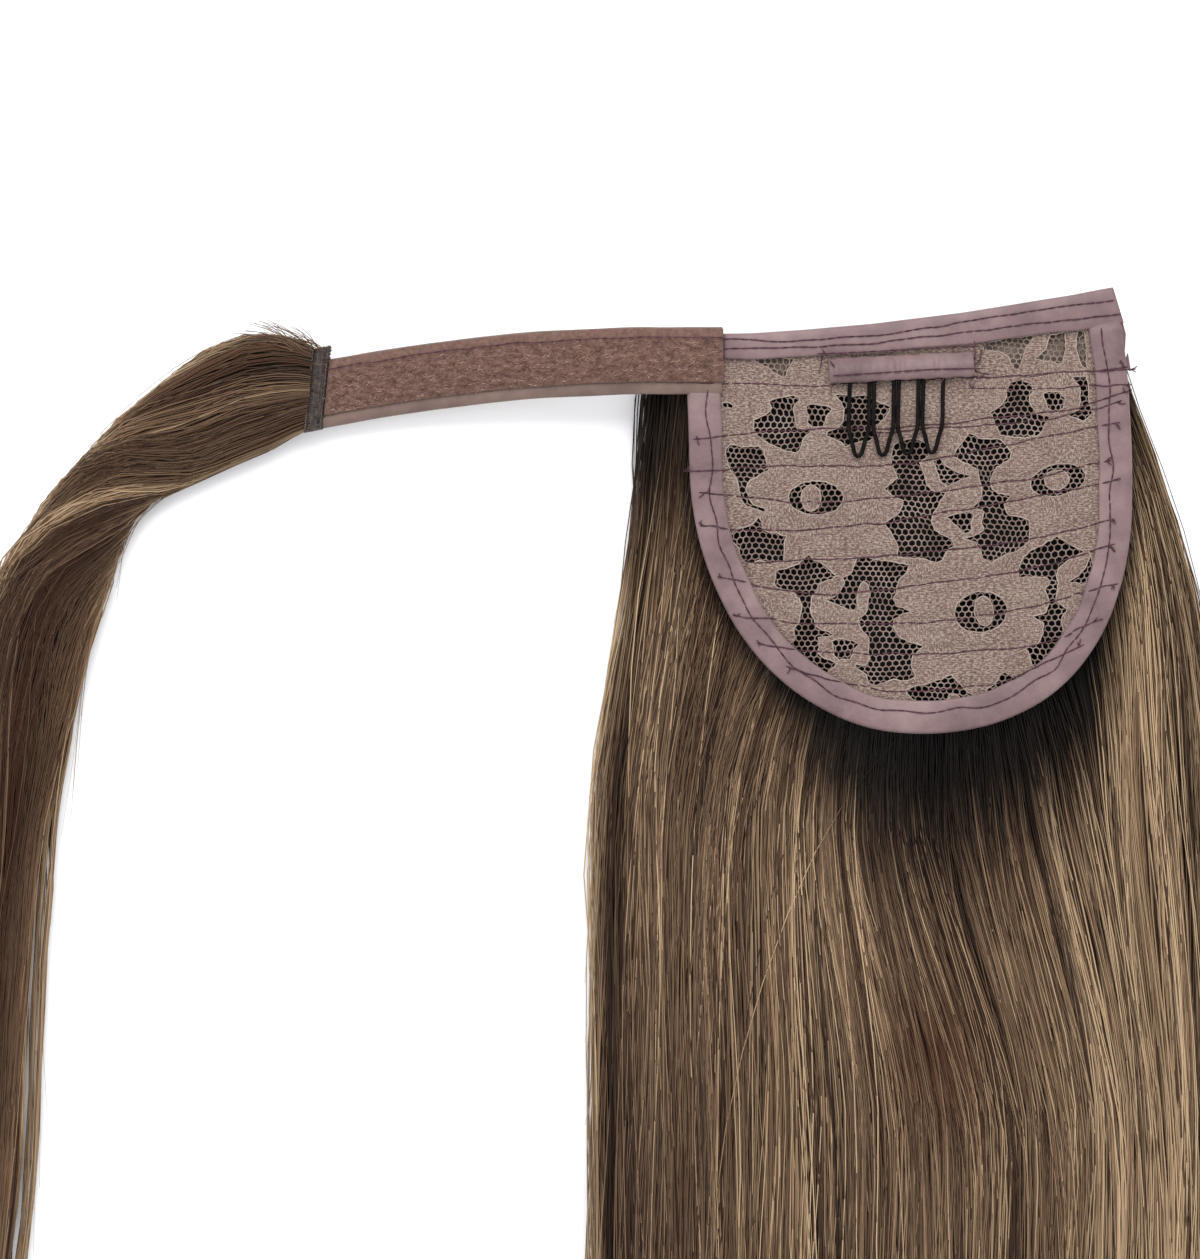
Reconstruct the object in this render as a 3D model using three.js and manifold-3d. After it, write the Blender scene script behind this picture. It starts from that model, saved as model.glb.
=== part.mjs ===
// A wrap-around ponytail hairpiece, lying as it does on a table: the lace side of its pad faces up,
// the strap runs to the left with a wrapping strand of hair at its end, and the ponytail runs down (-Y).
// Millimetres, +Z up. Plan places are measured from the pad's widest point, and heights from the table.
import * as THREE from "three";
import { mergeVertices } from "three/addons/utils/BufferGeometryUtils.js";
import Module from "manifold-3d";

const wasm = await Module();
wasm.setup();

// Cloth and clearances
const CLEARANCE = 0.3; // between pieces that touch
const SATIN_WALL = 1.0; // one layer of folded satin tape
const LACE_WALL = 1.0;
const TAPE_WALL = 1.2; // loop tape with its pile
const FOLD_CHAMFER = 0.35; // softens the folded edges of the tapes

// Pad
const PAD_WIDTH = 106;
const PAD_DROP = 53.3; // from the widest point down to the bottom of the U
const PAD_LEG = 27.2; // from the widest point up to the strap's lower edge
const BINDING_WIDTH = 8;
const LACE_BRIDGE = 1.6; // lace left across a flower's ring of net

// Satin band along the pad's top, which rises to the right
const BAND_HEIGHT_LEFT = 5.9;
const BAND_HEIGHT_RIGHT = 9.6;
const BAND_RISE = 11;
const BAND_SWEEP = 1.6; // how late the rise comes: 1 would be a straight edge
const BAND_LEAN = 2.6; // how far the right end's lower corner stands out past its upper one
const BAND_LEAN_START = 0.75; // where along the band that lean starts
const BAND_CORNER = 4.8; // from the pad's widest reach in to the band's right end
const BAND_STEP = 1.4; // the band's upper edge lies this far under the strap's

// Strap and loop tape
const STRAP_WIDTH = 16;
const STRAP_LEVEL = 16; // the stretch that runs level off the pad
const STRAP_CURVED = 80; // the stretch that bends and comes down
const STRAP_RADIUS = 420;
const STRAP_BENDS = 10; // flat steps along the curved stretch
const STRAP_DESCENT = 8.2;
const STRAP_OVERLAP = 8.5; // how far its cut end reaches in over the pad's upper left corner
const LOOP_TAPE_WIDTH = 13;
const LOOP_TAPE_MARGIN = 0.3; // from the strap's upper edge

// Comb and the satin patch that holds it
const COMB_TEETH = 4;
const COMB_PITCH = 5.85;
const TOOTH_WIDTH = 4.7; // between the centres of a tooth's two legs
const TOOTH_LENGTH = 20.6;
const TOOTH_STRAIGHT = 13.8;
const TOOTH_TIP_WIDTH = 1.8;
const TOOTH_LEAN = 4; // degrees, because the teeth hang plumb under the tilted patch
const TOOTH_WIRE = 0.9;
const COMB_BAR_WIRE = 1.3;
const COMB_X = -3.2; // the comb's middle, from the pad's middle
const PATCH_LENGTH = 34.5;
const PATCH_HEIGHT = 6;
const PATCH_MARGIN = 0.5; // under the band's lower edge
const PATCH_WALL = 0.9;
const PATCH_TILT = 2.8; // degrees
const PATCH_SHIFT = 1.1; // the patch's middle, right of the comb's

// Ponytail hair
const HAIR_LENGTH = 400;
const HAIR_WIDTH = 152;
const HAIR_DEPTH = 12.6; // where the ponytail is thickest
const HAIR_START = 41; // above the pad's widest point
const HEAD_DEPTH = 11; // the sewn rows of hair under the pad
const HEAD_INSET = 4;
const BACK_LOCKS = 8;
const FRONT_LOCKS = 8;
const LOCK_STATIONS = 12;
const LOCK_SIDES = 8;
const BACK_OVERLAP = 0.84; // half a lock's width, as a share of the space that each lock has
const FRONT_OVERLAP = 0.8;
const TIP_NARROWING = 0.52; // a lock's width at its tip, as a share of its full width
const TIP_START = 0.86; // where along a lock the narrowing starts
const TIP_STAGGER = 0.012; // neighbouring locks end this share of the hair's length apart
const BACK_EDGE_FALL = 0.28; // how much lower the outermost locks are than the middle ones
const FRONT_EDGE_FALL = 0.2;
const LOCK_BED = 0.1; // how deep a back lock is pressed flat on the table, as a share of its height
const FRONT_UNDERCUT = 0.2; // a front lock's underside, as a share of its height

// Wrapping strand and the stitched head that joins it to the strap
const WEFT_LENGTH = 5.2;
const WEFT_WIDTH = 20;
const WEFT_DEPTH = 4.6;
const WEFT_GROOVE = 0.82; // its depth under a row of stitches, as a share of its full depth
const WEFT_ROUNDING = 0.3;
const WRAP_WIDTH = 25;
const WRAP_DEPTH = 10;
const WRAP_SPREAD = 85; // from its head out to the left
const WRAP_DROP = 286; // from its head down to its tip
const WRAP_LOCKS = 5;
const WRAP_STATIONS = 18;
const WRAP_TWIST = 1.15; // turns along the strand
const WRAP_LOCK_SHARE = 0.5; // a lock's width and its sideways throw, as shares of the strand's width
const WRAP_LOCK_DEPTH = 0.68; // a lock's height, as a share of the strand's height
const WRAP_LANDING = 0.17; // the share of the strand that comes down from the strap's end to the table

// Heights of the pad's layers above the table
const PAD_UNDERSIDE = HEAD_DEPTH + CLEARANCE;
const LACE_UNDERSIDE = PAD_UNDERSIDE + SATIN_WALL + CLEARANCE;
const LACE_TOP = LACE_UNDERSIDE + LACE_WALL;
const FLANGE_UNDERSIDE = LACE_TOP + CLEARANCE;
const PAD_TOP = FLANGE_UNDERSIDE + SATIN_WALL;
const EDGE_SEAT = SATIN_WALL + CLEARANCE; // from a fold's outer edge in to the lace's edge
const PAD_HALF = PAD_WIDTH / 2;

// Strap places that follow from the pad
const STRAP_LOW = PAD_LEG + CLEARANCE;
const STRAP_MIDDLE = STRAP_LOW + STRAP_WIDTH / 2;
const STRAP_START = STRAP_OVERLAP - PAD_HALF; // its cut end on the pad's upper left corner
const BAND_TOP_LEFT = STRAP_LOW + STRAP_WIDTH - BAND_STEP;
const BAND_END = PAD_HALF - BAND_CORNER;

// The U of the pad's outer edge, from the left leg round to the right leg, as shares of the half width and
// the drop: each row is an end point x, y with the two handles a and b of the curve that leads there.
const U_START = { x: -0.99, y: 0.19 };
const U_SHAPE = [
  { ax: -0.97, ay: -0.49, bx: -0.53, by: -1, x: 0.05, y: -1 },
  { ax: 0.59, ay: -1, bx: 1, by: -0.68, x: 1, y: 0.09 },
  { ax: 1, ay: 0.35, bx: 0.98, by: 0.6, x: 0.955, y: 0.8 },
];
const U_POINTS = 36;
const TOP_POINTS = 7; // along the lace's upper edge

// Windows of net in the lace: middle and half sizes, as shares of the half width and the drop. Each has
// pointed corners where the petals round it meet: cusps is how many, press how deep the petals reach in
// between them, and turn where the first one points. Windows that overlap run together.
const NET_WINDOWS = [
  { x: -0.575, y: 0.385, wide: 0.135, high: 0.135, cusps: 4, press: 0.3, turn: 20 },
  { x: -0.41, y: 0.425, wide: 0.068, high: 0.07, cusps: 4, press: 0.2, turn: 40 },
  { x: -0.27, y: 0.4, wide: 0.14, high: 0.125, cusps: 5, press: 0.34, turn: 30 },
  { x: -0.73, y: 0.215, wide: 0.11, high: 0.1, cusps: 4, press: 0.24, turn: 45 },
  { x: -0.715, y: 0.055, wide: 0.07, high: 0.075, cusps: 3, press: 0.3, turn: 80 },
  { x: -0.61, y: 0.64, wide: 0.1, high: 0.06, cusps: 4, press: 0.3, turn: 10 },
  { x: 0, y: 0.17, wide: 0.12, high: 0.16, cusps: 4, press: 0.28, turn: 45 },
  { x: 0.165, y: 0.15, wide: 0.11, high: 0.075, cusps: 3, press: 0.34, turn: 5 },
  { x: 0.49, y: 0.445, wide: 0.14, high: 0.135, cusps: 5, press: 0.26, turn: 54 },
  { x: 0.325, y: 0.24, wide: 0.145, high: 0.125, cusps: 4, press: 0.3, turn: 8 },
  { x: 0.45, y: 0.735, wide: 0.13, high: 0.06, cusps: 3, press: 0.26, turn: 60 },
  { x: 0.64, y: 0.705, wide: 0.1, high: 0.1, cusps: 3, press: 0.3, turn: 80 },
  { x: 0.65, y: 0.485, wide: 0.065, high: 0.07, cusps: 4, press: 0.2, turn: 45 },
  { x: 0.775, y: 0.49, wide: 0.045, high: 0.115, cusps: 4, press: 0.18, turn: 0 },
  { x: 0.365, y: 0.04, wide: 0.085, high: 0.08, cusps: 4, press: 0.34, turn: 30 },
  { x: -0.685, y: -0.165, wide: 0.14, high: 0.105, cusps: 4, press: 0.22, turn: 40 },
  { x: -0.475, y: -0.3, wide: 0.15, high: 0.125, cusps: 5, press: 0.36, turn: 90 },
  { x: -0.47, y: -0.555, wide: 0.085, high: 0.14, cusps: 4, press: 0.36, turn: 50 },
  { x: -0.4, y: -0.7, wide: 0.06, high: 0.06, cusps: 3, press: 0.3, turn: 0 },
  { x: 0, y: -0.085, wide: 0.135, high: 0.125, cusps: 5, press: 0.3, turn: 54 },
  { x: 0.225, y: -0.055, wide: 0.07, high: 0.065, cusps: 3, press: 0.24, turn: 20 },
  { x: 0.065, y: -0.18, wide: 0.165, high: 0.07, cusps: 4, press: 0.26, turn: 20 },
  { x: 0.41, y: -0.12, wide: 0.17, high: 0.125, cusps: 5, press: 0.28, turn: 36 },
  { x: -0.285, y: -0.38, wide: 0.09, high: 0.105, cusps: 3, press: 0.34, turn: 60 },
  { x: -0.125, y: -0.265, wide: 0.145, high: 0.07, cusps: 4, press: 0.28, turn: 20 },
  { x: -0.12, y: -0.43, wide: 0.095, high: 0.15, cusps: 4, press: 0.34, turn: 0 },
  { x: -0.09, y: -0.65, wide: 0.155, high: 0.13, cusps: 5, press: 0.34, turn: 18 },
  { x: -0.305, y: -0.615, wide: 0.07, high: 0.065, cusps: 4, press: 0.2, turn: 20 },
  { x: 0.615, y: -0.2, wide: 0.145, high: 0.115, cusps: 4, press: 0.28, turn: 25 },
  { x: 0.62, y: -0.55, wide: 0.12, high: 0.17, cusps: 4, press: 0.4, turn: 60 },
  { x: 0.775, y: -0.28, wide: 0.06, high: 0.08, cusps: 3, press: 0.28, turn: 50 },
  { x: 0.125, y: -0.8, wide: 0.165, high: 0.075, cusps: 5, press: 0.34, turn: 18 },
  { x: 0.415, y: -0.785, wide: 0.105, high: 0.06, cusps: 4, press: 0.3, turn: 30 },
];
const CUSP_STEPS = 4; // points from one corner to the next

// Eyes of the three large flowers: each is a ring of net, cut as two crescents with lace between them.
const FLOWER_EYES = [
  { x: -0.42, y: 0.053, wide: 0.12, high: 0.079, core: 0.46 },
  { x: 0.67, y: 0.139, wide: 0.12, high: 0.079, core: 0.5 },
  { x: 0.318, y: -0.457, wide: 0.12, high: 0.092, core: 0.44 },
];
const CRESCENT_POINTS = 6;

// The ponytail's outline and height along its length, as shares of its length, half width and depth.
const HAIR_OUTLINE = [
  { down: 0, left: -0.8, right: 0.62, back: 0.62 },
  { down: 0.034, left: -0.845, right: 0.7, back: 0.66 },
  { down: 0.08, left: -0.845, right: 0.81, back: 0.7 },
  { down: 0.13, left: -0.87, right: 0.9, back: 0.7 },
  { down: 0.22, left: -0.965, right: 0.955, back: 0.68 },
  { down: 0.335, left: -1, right: 0.99, back: 0.64 },
  { down: 0.55, left: -1, right: 1, back: 0.56 },
  { down: 0.83, left: -0.95, right: 0.95, back: 0.34 },
  { down: 1, left: -0.8, right: 0.8, back: 0.1 },
];

// The front locks' top surface: low in the hollow under the pad's lower edge, then full, then thinning out.
const FRONT_PROFILE = [
  { down: 0.17, top: 0.56, narrow: 0.5 },
  { down: 0.24, top: 0.52, narrow: 0.62 },
  { down: 0.28, top: 0.74, narrow: 0.76 },
  { down: 0.35, top: 0.98, narrow: 0.88 },
  { down: 0.55, top: 0.9, narrow: 0.95 },
  { down: 0.8, top: 0.56, narrow: 0.93 },
  { down: 0.94, top: 0.24, narrow: 0.84 },
];

// The wrapping strand's middle line from the stitched head to its tip, as shares of WRAP_SPREAD and
// WRAP_DROP, with its width as a share of WRAP_WIDTH and its height as a share of WRAP_DEPTH.
const WRAP_ROUTE = [
  { across: 0, down: 0, wide: 0.84, high: 0.5 },
  { across: 0.108, down: -0.001, wide: 1.02, high: 0.72 },
  { across: 0.27, down: 0.019, wide: 1.04, high: 0.9 },
  { across: 0.43, down: 0.05, wide: 0.92, high: 1 },
  { across: 0.585, down: 0.093, wide: 0.86, high: 1 },
  { across: 0.7, down: 0.156, wide: 0.98, high: 0.95 },
  { across: 0.762, down: 0.25, wide: 1, high: 0.88 },
  { across: 0.808, down: 0.343, wide: 0.96, high: 0.82 },
  { across: 0.834, down: 0.454, wide: 0.9, high: 0.76 },
  { across: 0.84, down: 0.566, wide: 0.82, high: 0.68 },
  { across: 0.875, down: 0.677, wide: 0.72, high: 0.6 },
  { across: 0.92, down: 0.757, wide: 0.6, high: 0.5 },
  { across: 0.965, down: 0.846, wide: 0.46, high: 0.4 },
  { across: 0.995, down: 0.93, wide: 0.32, high: 0.28 },
  { across: 1, down: 1, wide: 0.18, high: 0.18 },
];

const mix = (a, b, share) => a + (b - a) * share;
const smoothstep = (share) => share * share * (3 - 2 * share);

// A column of a table at a place between its rows, eased from row to row.
function readTable(table, column, key, at) {
  const last = table.length - 1;
  const next = Math.min(last, Math.max(1, table.findIndex((row) => row[key] >= at)));
  const above = at >= table[last][key] ? last : next;
  const a = table[above - 1];
  const b = table[above];
  const share = THREE.MathUtils.clamp((at - a[key]) / (b[key] - a[key]), 0, 1);
  return mix(a[column], b[column], mix(share, smoothstep(share), 0.5));
}

function geometryOf(positions, triangles) {
  const geometry = new THREE.BufferGeometry();
  geometry.setAttribute("position", new THREE.BufferAttribute(new Float32Array(positions), 3));
  geometry.setIndex(triangles);
  return geometry;
}

function signedVolume(positions, triangles) {
  const corner = (i) => new THREE.Vector3().fromArray(positions, 3 * i);
  let sum = 0;
  for (let i = 0; i < triangles.length; i += 3)
    sum += corner(triangles[i]).dot(corner(triangles[i + 1]).cross(corner(triangles[i + 2])));
  return sum / 6;
}

// A closed body through stations, each with an origin, a level side direction and a section of points.
function loft(stations) {
  const sides = stations[0].section.length;
  const positions = [];
  for (const { origin, side, section } of stations)
    for (const { across, up } of section)
      positions.push(origin.x + side.x * across, origin.y + side.y * across, origin.z + up);
  const triangles = [];
  for (let s = 0; s + 1 < stations.length; s++)
    for (let i = 0; i < sides; i++) {
      const a = s * sides + i;
      const b = s * sides + ((i + 1) % sides);
      triangles.push(a, b, b + sides, a, b + sides, a + sides);
    }
  const capOf = (station) =>
    THREE.ShapeUtils.triangulateShape(
      station.section.map(({ across, up }) => new THREE.Vector2(across, up)),
      [],
    );
  const end = (stations.length - 1) * sides;
  for (const [a, b, c] of capOf(stations[0])) triangles.push(a, c, b);
  for (const [a, b, c] of capOf(stations[stations.length - 1])) triangles.push(end + a, end + b, end + c);
  if (signedVolume(positions, triangles) < 0) triangles.reverse();
  return geometryOf(positions, triangles);
}

function solidOf(geometry) {
  const bare = geometry.index ? geometry.toNonIndexed() : geometry.clone();
  for (const name of ["normal", "uv"]) bare.deleteAttribute(name);
  const merged = mergeVertices(bare, 1e-4);
  return new wasm.Manifold(
    new wasm.Mesh({
      numProp: 3,
      vertProperties: merged.attributes.position.array,
      triVerts: new Uint32Array(merged.index.array),
    }),
  );
}

function geometryFrom(solid) {
  const mesh = solid.getMesh();
  return geometryOf(mesh.vertProperties, [...mesh.triVerts]);
}

const joined = (solids) => solids.reduce((all, solid) => all.add(solid));

function plate(points, low, high) {
  const shape = new THREE.Shape(points);
  const body = new THREE.ExtrudeGeometry(shape, { depth: high - low, bevelEnabled: false });
  return solidOf(body.translate(0, 0, low));
}

// The pad's outer edge as points with their outward directions.
function padEdge() {
  const at = (x, y) => new THREE.Vector2(x * PAD_HALF, y * PAD_DROP);
  const path = new THREE.CurvePath();
  let from = at(U_START.x, U_START.y);
  path.add(new THREE.LineCurve(new THREE.Vector2(-PAD_HALF, PAD_LEG), from));
  for (const { ax, ay, bx, by, x, y } of U_SHAPE) {
    const to = at(x, y);
    path.add(new THREE.CubicBezierCurve(from, at(ax, ay), at(bx, by), to));
    from = to;
  }
  const edge = [];
  for (let i = 0; i <= U_POINTS; i++) {
    const along = path.getTangentAt(i / U_POINTS);
    edge.push({ point: path.getPointAt(i / U_POINTS), outward: new THREE.Vector2(along.y, -along.x) });
  }
  return edge;
}

const EDGE = padEdge();

function edgeAt({ point, outward }, inset) {
  return point.clone().addScaledVector(outward, -inset);
}

// The band's upper edge and height at a share of its run from the strap's end to the right corner.
const bandX = (share) => mix(STRAP_START, BAND_END, share);
const bandTop = (share) => BAND_TOP_LEFT + BAND_RISE * Math.max(share, 0) ** BAND_SWEEP;
const bandHeight = (share) => mix(BAND_HEIGHT_LEFT, BAND_HEIGHT_RIGHT, Math.max(share, 0));

function laceOutline() {
  const last = EDGE.length - 1;
  const left = edgeAt(EDGE[0], EDGE_SEAT);
  const right = edgeAt(EDGE[last], EDGE_SEAT);
  const top = (share) => new THREE.Vector2(bandX(share), bandTop(share) - EDGE_SEAT);
  const corner = new THREE.Vector2(right.x - BAND_LEAN, bandTop(1) - 2 * EDGE_SEAT);
  const topShares = Array.from({ length: TOP_POINTS }, (_, i) => 0.9 * (1 - i / (TOP_POINTS - 1)));
  return [
    new THREE.Vector2(left.x, BAND_TOP_LEFT - EDGE_SEAT),
    ...EDGE.map((place) => edgeAt(place, EDGE_SEAT)),
    corner,
    ...topShares.map(top),
  ];
}

function netWindow({ x, y, wide, high, cusps, press, turn }) {
  const points = [];
  const steps = cusps * CUSP_STEPS;
  for (let i = 0; i < steps; i++) {
    const past = (2 * Math.PI * i) / steps;
    const angle = past + THREE.MathUtils.degToRad(turn);
    const reach = 1 - press * Math.abs(Math.sin((cusps * past) / 2));
    points.push(
      new THREE.Vector2(
        (x + wide * reach * Math.cos(angle)) * PAD_HALF,
        (y + high * reach * Math.sin(angle)) * PAD_DROP,
      ),
    );
  }
  return points;
}

function crescent({ x, y, wide, high, core }, hand) {
  const ring = (share) => {
    const across = wide * PAD_HALF * share;
    const gap = Math.asin(LACE_BRIDGE / 2 / across);
    const arc = [];
    for (let i = 0; i <= CRESCENT_POINTS; i++) {
      const angle = mix(gap - Math.PI / 2, Math.PI / 2 - gap, i / CRESCENT_POINTS);
      arc.push(
        new THREE.Vector2(
          x * PAD_HALF + hand * across * Math.cos(angle),
          y * PAD_DROP + high * PAD_DROP * share * Math.sin(angle),
        ),
      );
    }
    return arc;
  };
  return [...ring(1), ...ring(core).reverse()];
}

function lacePad() {
  const below = LACE_UNDERSIDE - 1;
  const above = LACE_TOP + 1;
  const cuts = NET_WINDOWS.map((row) => plate(netWindow(row), below, above));
  for (const eye of FLOWER_EYES)
    for (const hand of [-1, 1]) cuts.push(plate(crescent(eye, hand), below, above));
  return geometryFrom(plate(laceOutline(), LACE_UNDERSIDE, LACE_TOP).subtract(joined(cuts)));
}

// A folded tape's section: a fold at across = 0 and two flanges that reach in over and under the lace.
function foldSection(width) {
  const [low, high] = [PAD_UNDERSIDE, PAD_TOP];
  const [slotLow, slotHigh] = [low + SATIN_WALL, high - SATIN_WALL];
  return [
    { across: FOLD_CHAMFER, up: low },
    { across: width, up: low },
    { across: width, up: slotLow },
    { across: SATIN_WALL, up: slotLow },
    { across: SATIN_WALL, up: slotHigh },
    { across: width, up: slotHigh },
    { across: width, up: high },
    { across: FOLD_CHAMFER, up: high },
    { across: 0, up: high - FOLD_CHAMFER },
    { across: 0, up: low + FOLD_CHAMFER },
  ];
}

function edgeBinding() {
  return loft(
    EDGE.map(({ point, outward }) => ({
      origin: new THREE.Vector3(point.x, point.y, 0),
      side: outward.clone().negate(),
      section: foldSection(BINDING_WIDTH),
    })),
  );
}

// The strap's middle line: level off the pad, then a wide arc that also comes down towards the table.
function strapPlace(distance) {
  const past = Math.max(0, distance - STRAP_LEVEL);
  const angle = past / STRAP_RADIUS;
  return {
    x: STRAP_START - Math.min(distance, STRAP_LEVEL) - STRAP_RADIUS * Math.sin(angle),
    y: STRAP_MIDDLE - STRAP_RADIUS * (1 - Math.cos(angle)),
    drop: STRAP_DESCENT * smoothstep(past / STRAP_CURVED),
    side: new THREE.Vector2(-Math.sin(angle), Math.cos(angle)),
  };
}

const STRAP_LENGTH = STRAP_LEVEL + STRAP_CURVED;

// A flat ribbon on the strap's line, between two levels and two distances from its middle.
function strapRibbon(low, high, from, to) {
  const stations = [];
  const bend = STRAP_CURVED / STRAP_BENDS;
  const bends = Array.from({ length: STRAP_BENDS + 1 }, (_, i) => STRAP_LEVEL + bend * i);
  for (const distance of [0, ...bends]) {
    const { x, y, drop, side } = strapPlace(distance);
    stations.push({
      origin: new THREE.Vector3(x, y, -drop),
      side,
      section: [
        { across: from, up: low },
        { across: to, up: low },
        { across: to, up: high },
        { across: from, up: high },
      ],
    });
  }
  return loft(stations);
}

function strapBand() {
  const stations = [];
  const steps = 12;
  for (let i = 0; i <= steps; i++) {
    const share = i / steps;
    const late = Math.max(0, share - BAND_LEAN_START) / (1 - BAND_LEAN_START);
    const lean = smoothstep(late) * (BAND_LEAN / BAND_HEIGHT_RIGHT);
    stations.push({
      origin: new THREE.Vector3(bandX(share) - SATIN_WALL * (1 - share), bandTop(share), 0),
      side: new THREE.Vector2(lean, -1),
      section: foldSection(bandHeight(share)),
    });
  }
  const half = STRAP_WIDTH / 2;
  const strap = strapRibbon(FLANGE_UNDERSIDE, PAD_TOP, -half, half);
  return geometryFrom(solidOf(loft(stations)).add(solidOf(strap)));
}

function loopTape() {
  const upper = STRAP_WIDTH / 2 - LOOP_TAPE_MARGIN;
  const low = PAD_TOP + CLEARANCE;
  return strapRibbon(low, low + TAPE_WALL, upper - LOOP_TAPE_WIDTH, upper);
}

// The comb lies flat on the lace: a bar with U-shaped wire teeth, all in one.
const COMB_HEIGHT = LACE_TOP + CLEARANCE + COMB_BAR_WIRE / 2;

// The comb's middle hangs below the band, as high as both ends of its patch allow.
function combY() {
  const lean = THREE.MathUtils.degToRad(PATCH_TILT);
  const rise = [-1, 1].map((hand) => {
    const reach = PATCH_SHIFT + (hand * PATCH_LENGTH) / 2;
    const share = (COMB_X + reach - STRAP_START) / (BAND_END - STRAP_START);
    return bandTop(share) - bandHeight(share) - reach * Math.tan(lean);
  });
  return Math.min(...rise) - PATCH_HEIGHT / 2 - PATCH_MARGIN;
}

function wireAlong(curve, wire, sides, steps) {
  const section = new THREE.Shape();
  for (let i = 0; i < sides; i++) {
    const angle = (2 * Math.PI * i) / sides;
    const point = [(wire / 2) * Math.cos(angle), (wire / 2) * Math.sin(angle)];
    if (i === 0) section.moveTo(...point);
    else section.lineTo(...point);
  }
  section.closePath();
  return solidOf(new THREE.ExtrudeGeometry(section, { steps, extrudePath: curve, curveSegments: 1 }));
}

function combTooth(middle) {
  const half = TOOTH_WIDTH / 2;
  const tip = TOOTH_TIP_WIDTH / 2;
  const lean = Math.tan(THREE.MathUtils.degToRad(TOOTH_LEAN));
  const rows = [
    [-half, 0],
    [-half, -TOOTH_STRAIGHT * 0.5],
    [-half, -TOOTH_STRAIGHT],
    [mix(-half, -tip, 0.5), mix(-TOOTH_STRAIGHT, -TOOTH_LENGTH + tip, 0.5)],
    [-tip, -TOOTH_LENGTH + tip],
    [0, -TOOTH_LENGTH],
  ];
  const points = [...rows, ...rows.slice(0, -1).reverse().map(([x, y]) => [-x, y])];
  const curve = new THREE.CatmullRomCurve3(
    points.map(([x, y]) => new THREE.Vector3(middle + x + y * lean, y, 0)),
    false,
    "centripetal",
  );
  return wireAlong(curve, TOOTH_WIRE, 6, 22);
}

function wireComb() {
  const reach = (COMB_PITCH * (COMB_TEETH - 1) + TOOTH_WIDTH) / 2 + TOOTH_WIRE / 2;
  const bar = new THREE.LineCurve3(new THREE.Vector3(-reach, 0, 0), new THREE.Vector3(reach, 0, 0));
  const solids = [wireAlong(bar, COMB_BAR_WIRE, 8, 1)];
  for (let i = 0; i < COMB_TEETH; i++) solids.push(combTooth((i - (COMB_TEETH - 1) / 2) * COMB_PITCH));
  return geometryFrom(joined(solids));
}

// The satin patch is folded over the comb's bar: a plate with a groove that opens where the teeth come out.
function combPatch() {
  const half = PATCH_LENGTH / 2;
  const roof = COMB_BAR_WIRE / 2 + CLEARANCE;
  const floor = LACE_TOP + CLEARANCE - COMB_HEIGHT;
  const upper = PATCH_HEIGHT / 2;
  const section = [
    { across: upper, up: floor },
    { across: upper, up: floor + PATCH_WALL },
    { across: roof + PATCH_WALL, up: roof + PATCH_WALL },
    { across: -upper, up: roof + PATCH_WALL },
    { across: -upper, up: roof },
    { across: roof, up: roof },
    { across: roof, up: floor },
  ];
  const stations = [-half, half].map((x) => ({
    origin: new THREE.Vector3(x + PATCH_SHIFT, 0, 0),
    side: new THREE.Vector2(0, 1),
    section,
  }));
  return loft(stations);
}

// The ponytail's flow: across is -1 at its left edge and 1 at its right, down is a share of its length.
function hairPlace(across, down) {
  const left = readTable(HAIR_OUTLINE, "left", "down", down);
  const right = readTable(HAIR_OUTLINE, "right", "down", down);
  return {
    x: (mix(left, right, (across + 1) / 2) * HAIR_WIDTH) / 2,
    y: HAIR_START - down * HAIR_LENGTH,
    span: ((right - left) * HAIR_WIDTH) / 2,
  };
}

// A lock's flattened round section, pressed flat where it meets the table.
function lockSection(wide, low, high) {
  const section = [];
  for (let i = 0; i < LOCK_SIDES; i++) {
    const angle = (2 * Math.PI * (i + 0.5)) / LOCK_SIDES;
    const up = mix(low, high, 0.5 + (0.5 * Math.sin(angle)) / Math.cos(Math.PI / LOCK_SIDES));
    section.push({ across: wide * Math.cos(angle), up: Math.max(up, 0) });
  }
  return section;
}

// Stations lie closer together near both ends of a lock, where its shape changes most.
const BUNCHING = 0.09;
const bunched = (share) => share - BUNCHING * Math.sin(2 * Math.PI * share);

// A lock keeps its width to near its end, and then narrows to its tip.
const lockWidth = (share) => {
  const late = Math.max(0, share - TIP_START) / (1 - TIP_START);
  return mix(1, TIP_NARROWING, smoothstep(late));
};

function backLock(index) {
  const across = mix(-1, 1, (index + 0.5) / BACK_LOCKS);
  const end = 1 - TIP_STAGGER * (across * across + ((index * 5) % 3));
  const edge = 1 - BACK_EDGE_FALL * across * across;
  const stations = [];
  for (let i = 0; i <= LOCK_STATIONS; i++) {
    const share = bunched(i / LOCK_STATIONS);
    const { x, y, span } = hairPlace(across * (1 - 0.5 / BACK_LOCKS), end * share);
    const high = readTable(HAIR_OUTLINE, "back", "down", end * share) * HAIR_DEPTH * edge;
    const wide = (span / BACK_LOCKS) * BACK_OVERLAP * lockWidth(share);
    stations.push({
      origin: new THREE.Vector3(x, y, 0),
      side: new THREE.Vector2(1, 0),
      section: lockSection(wide, -high * LOCK_BED, high),
    });
  }
  return solidOf(loft(stations));
}

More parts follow.
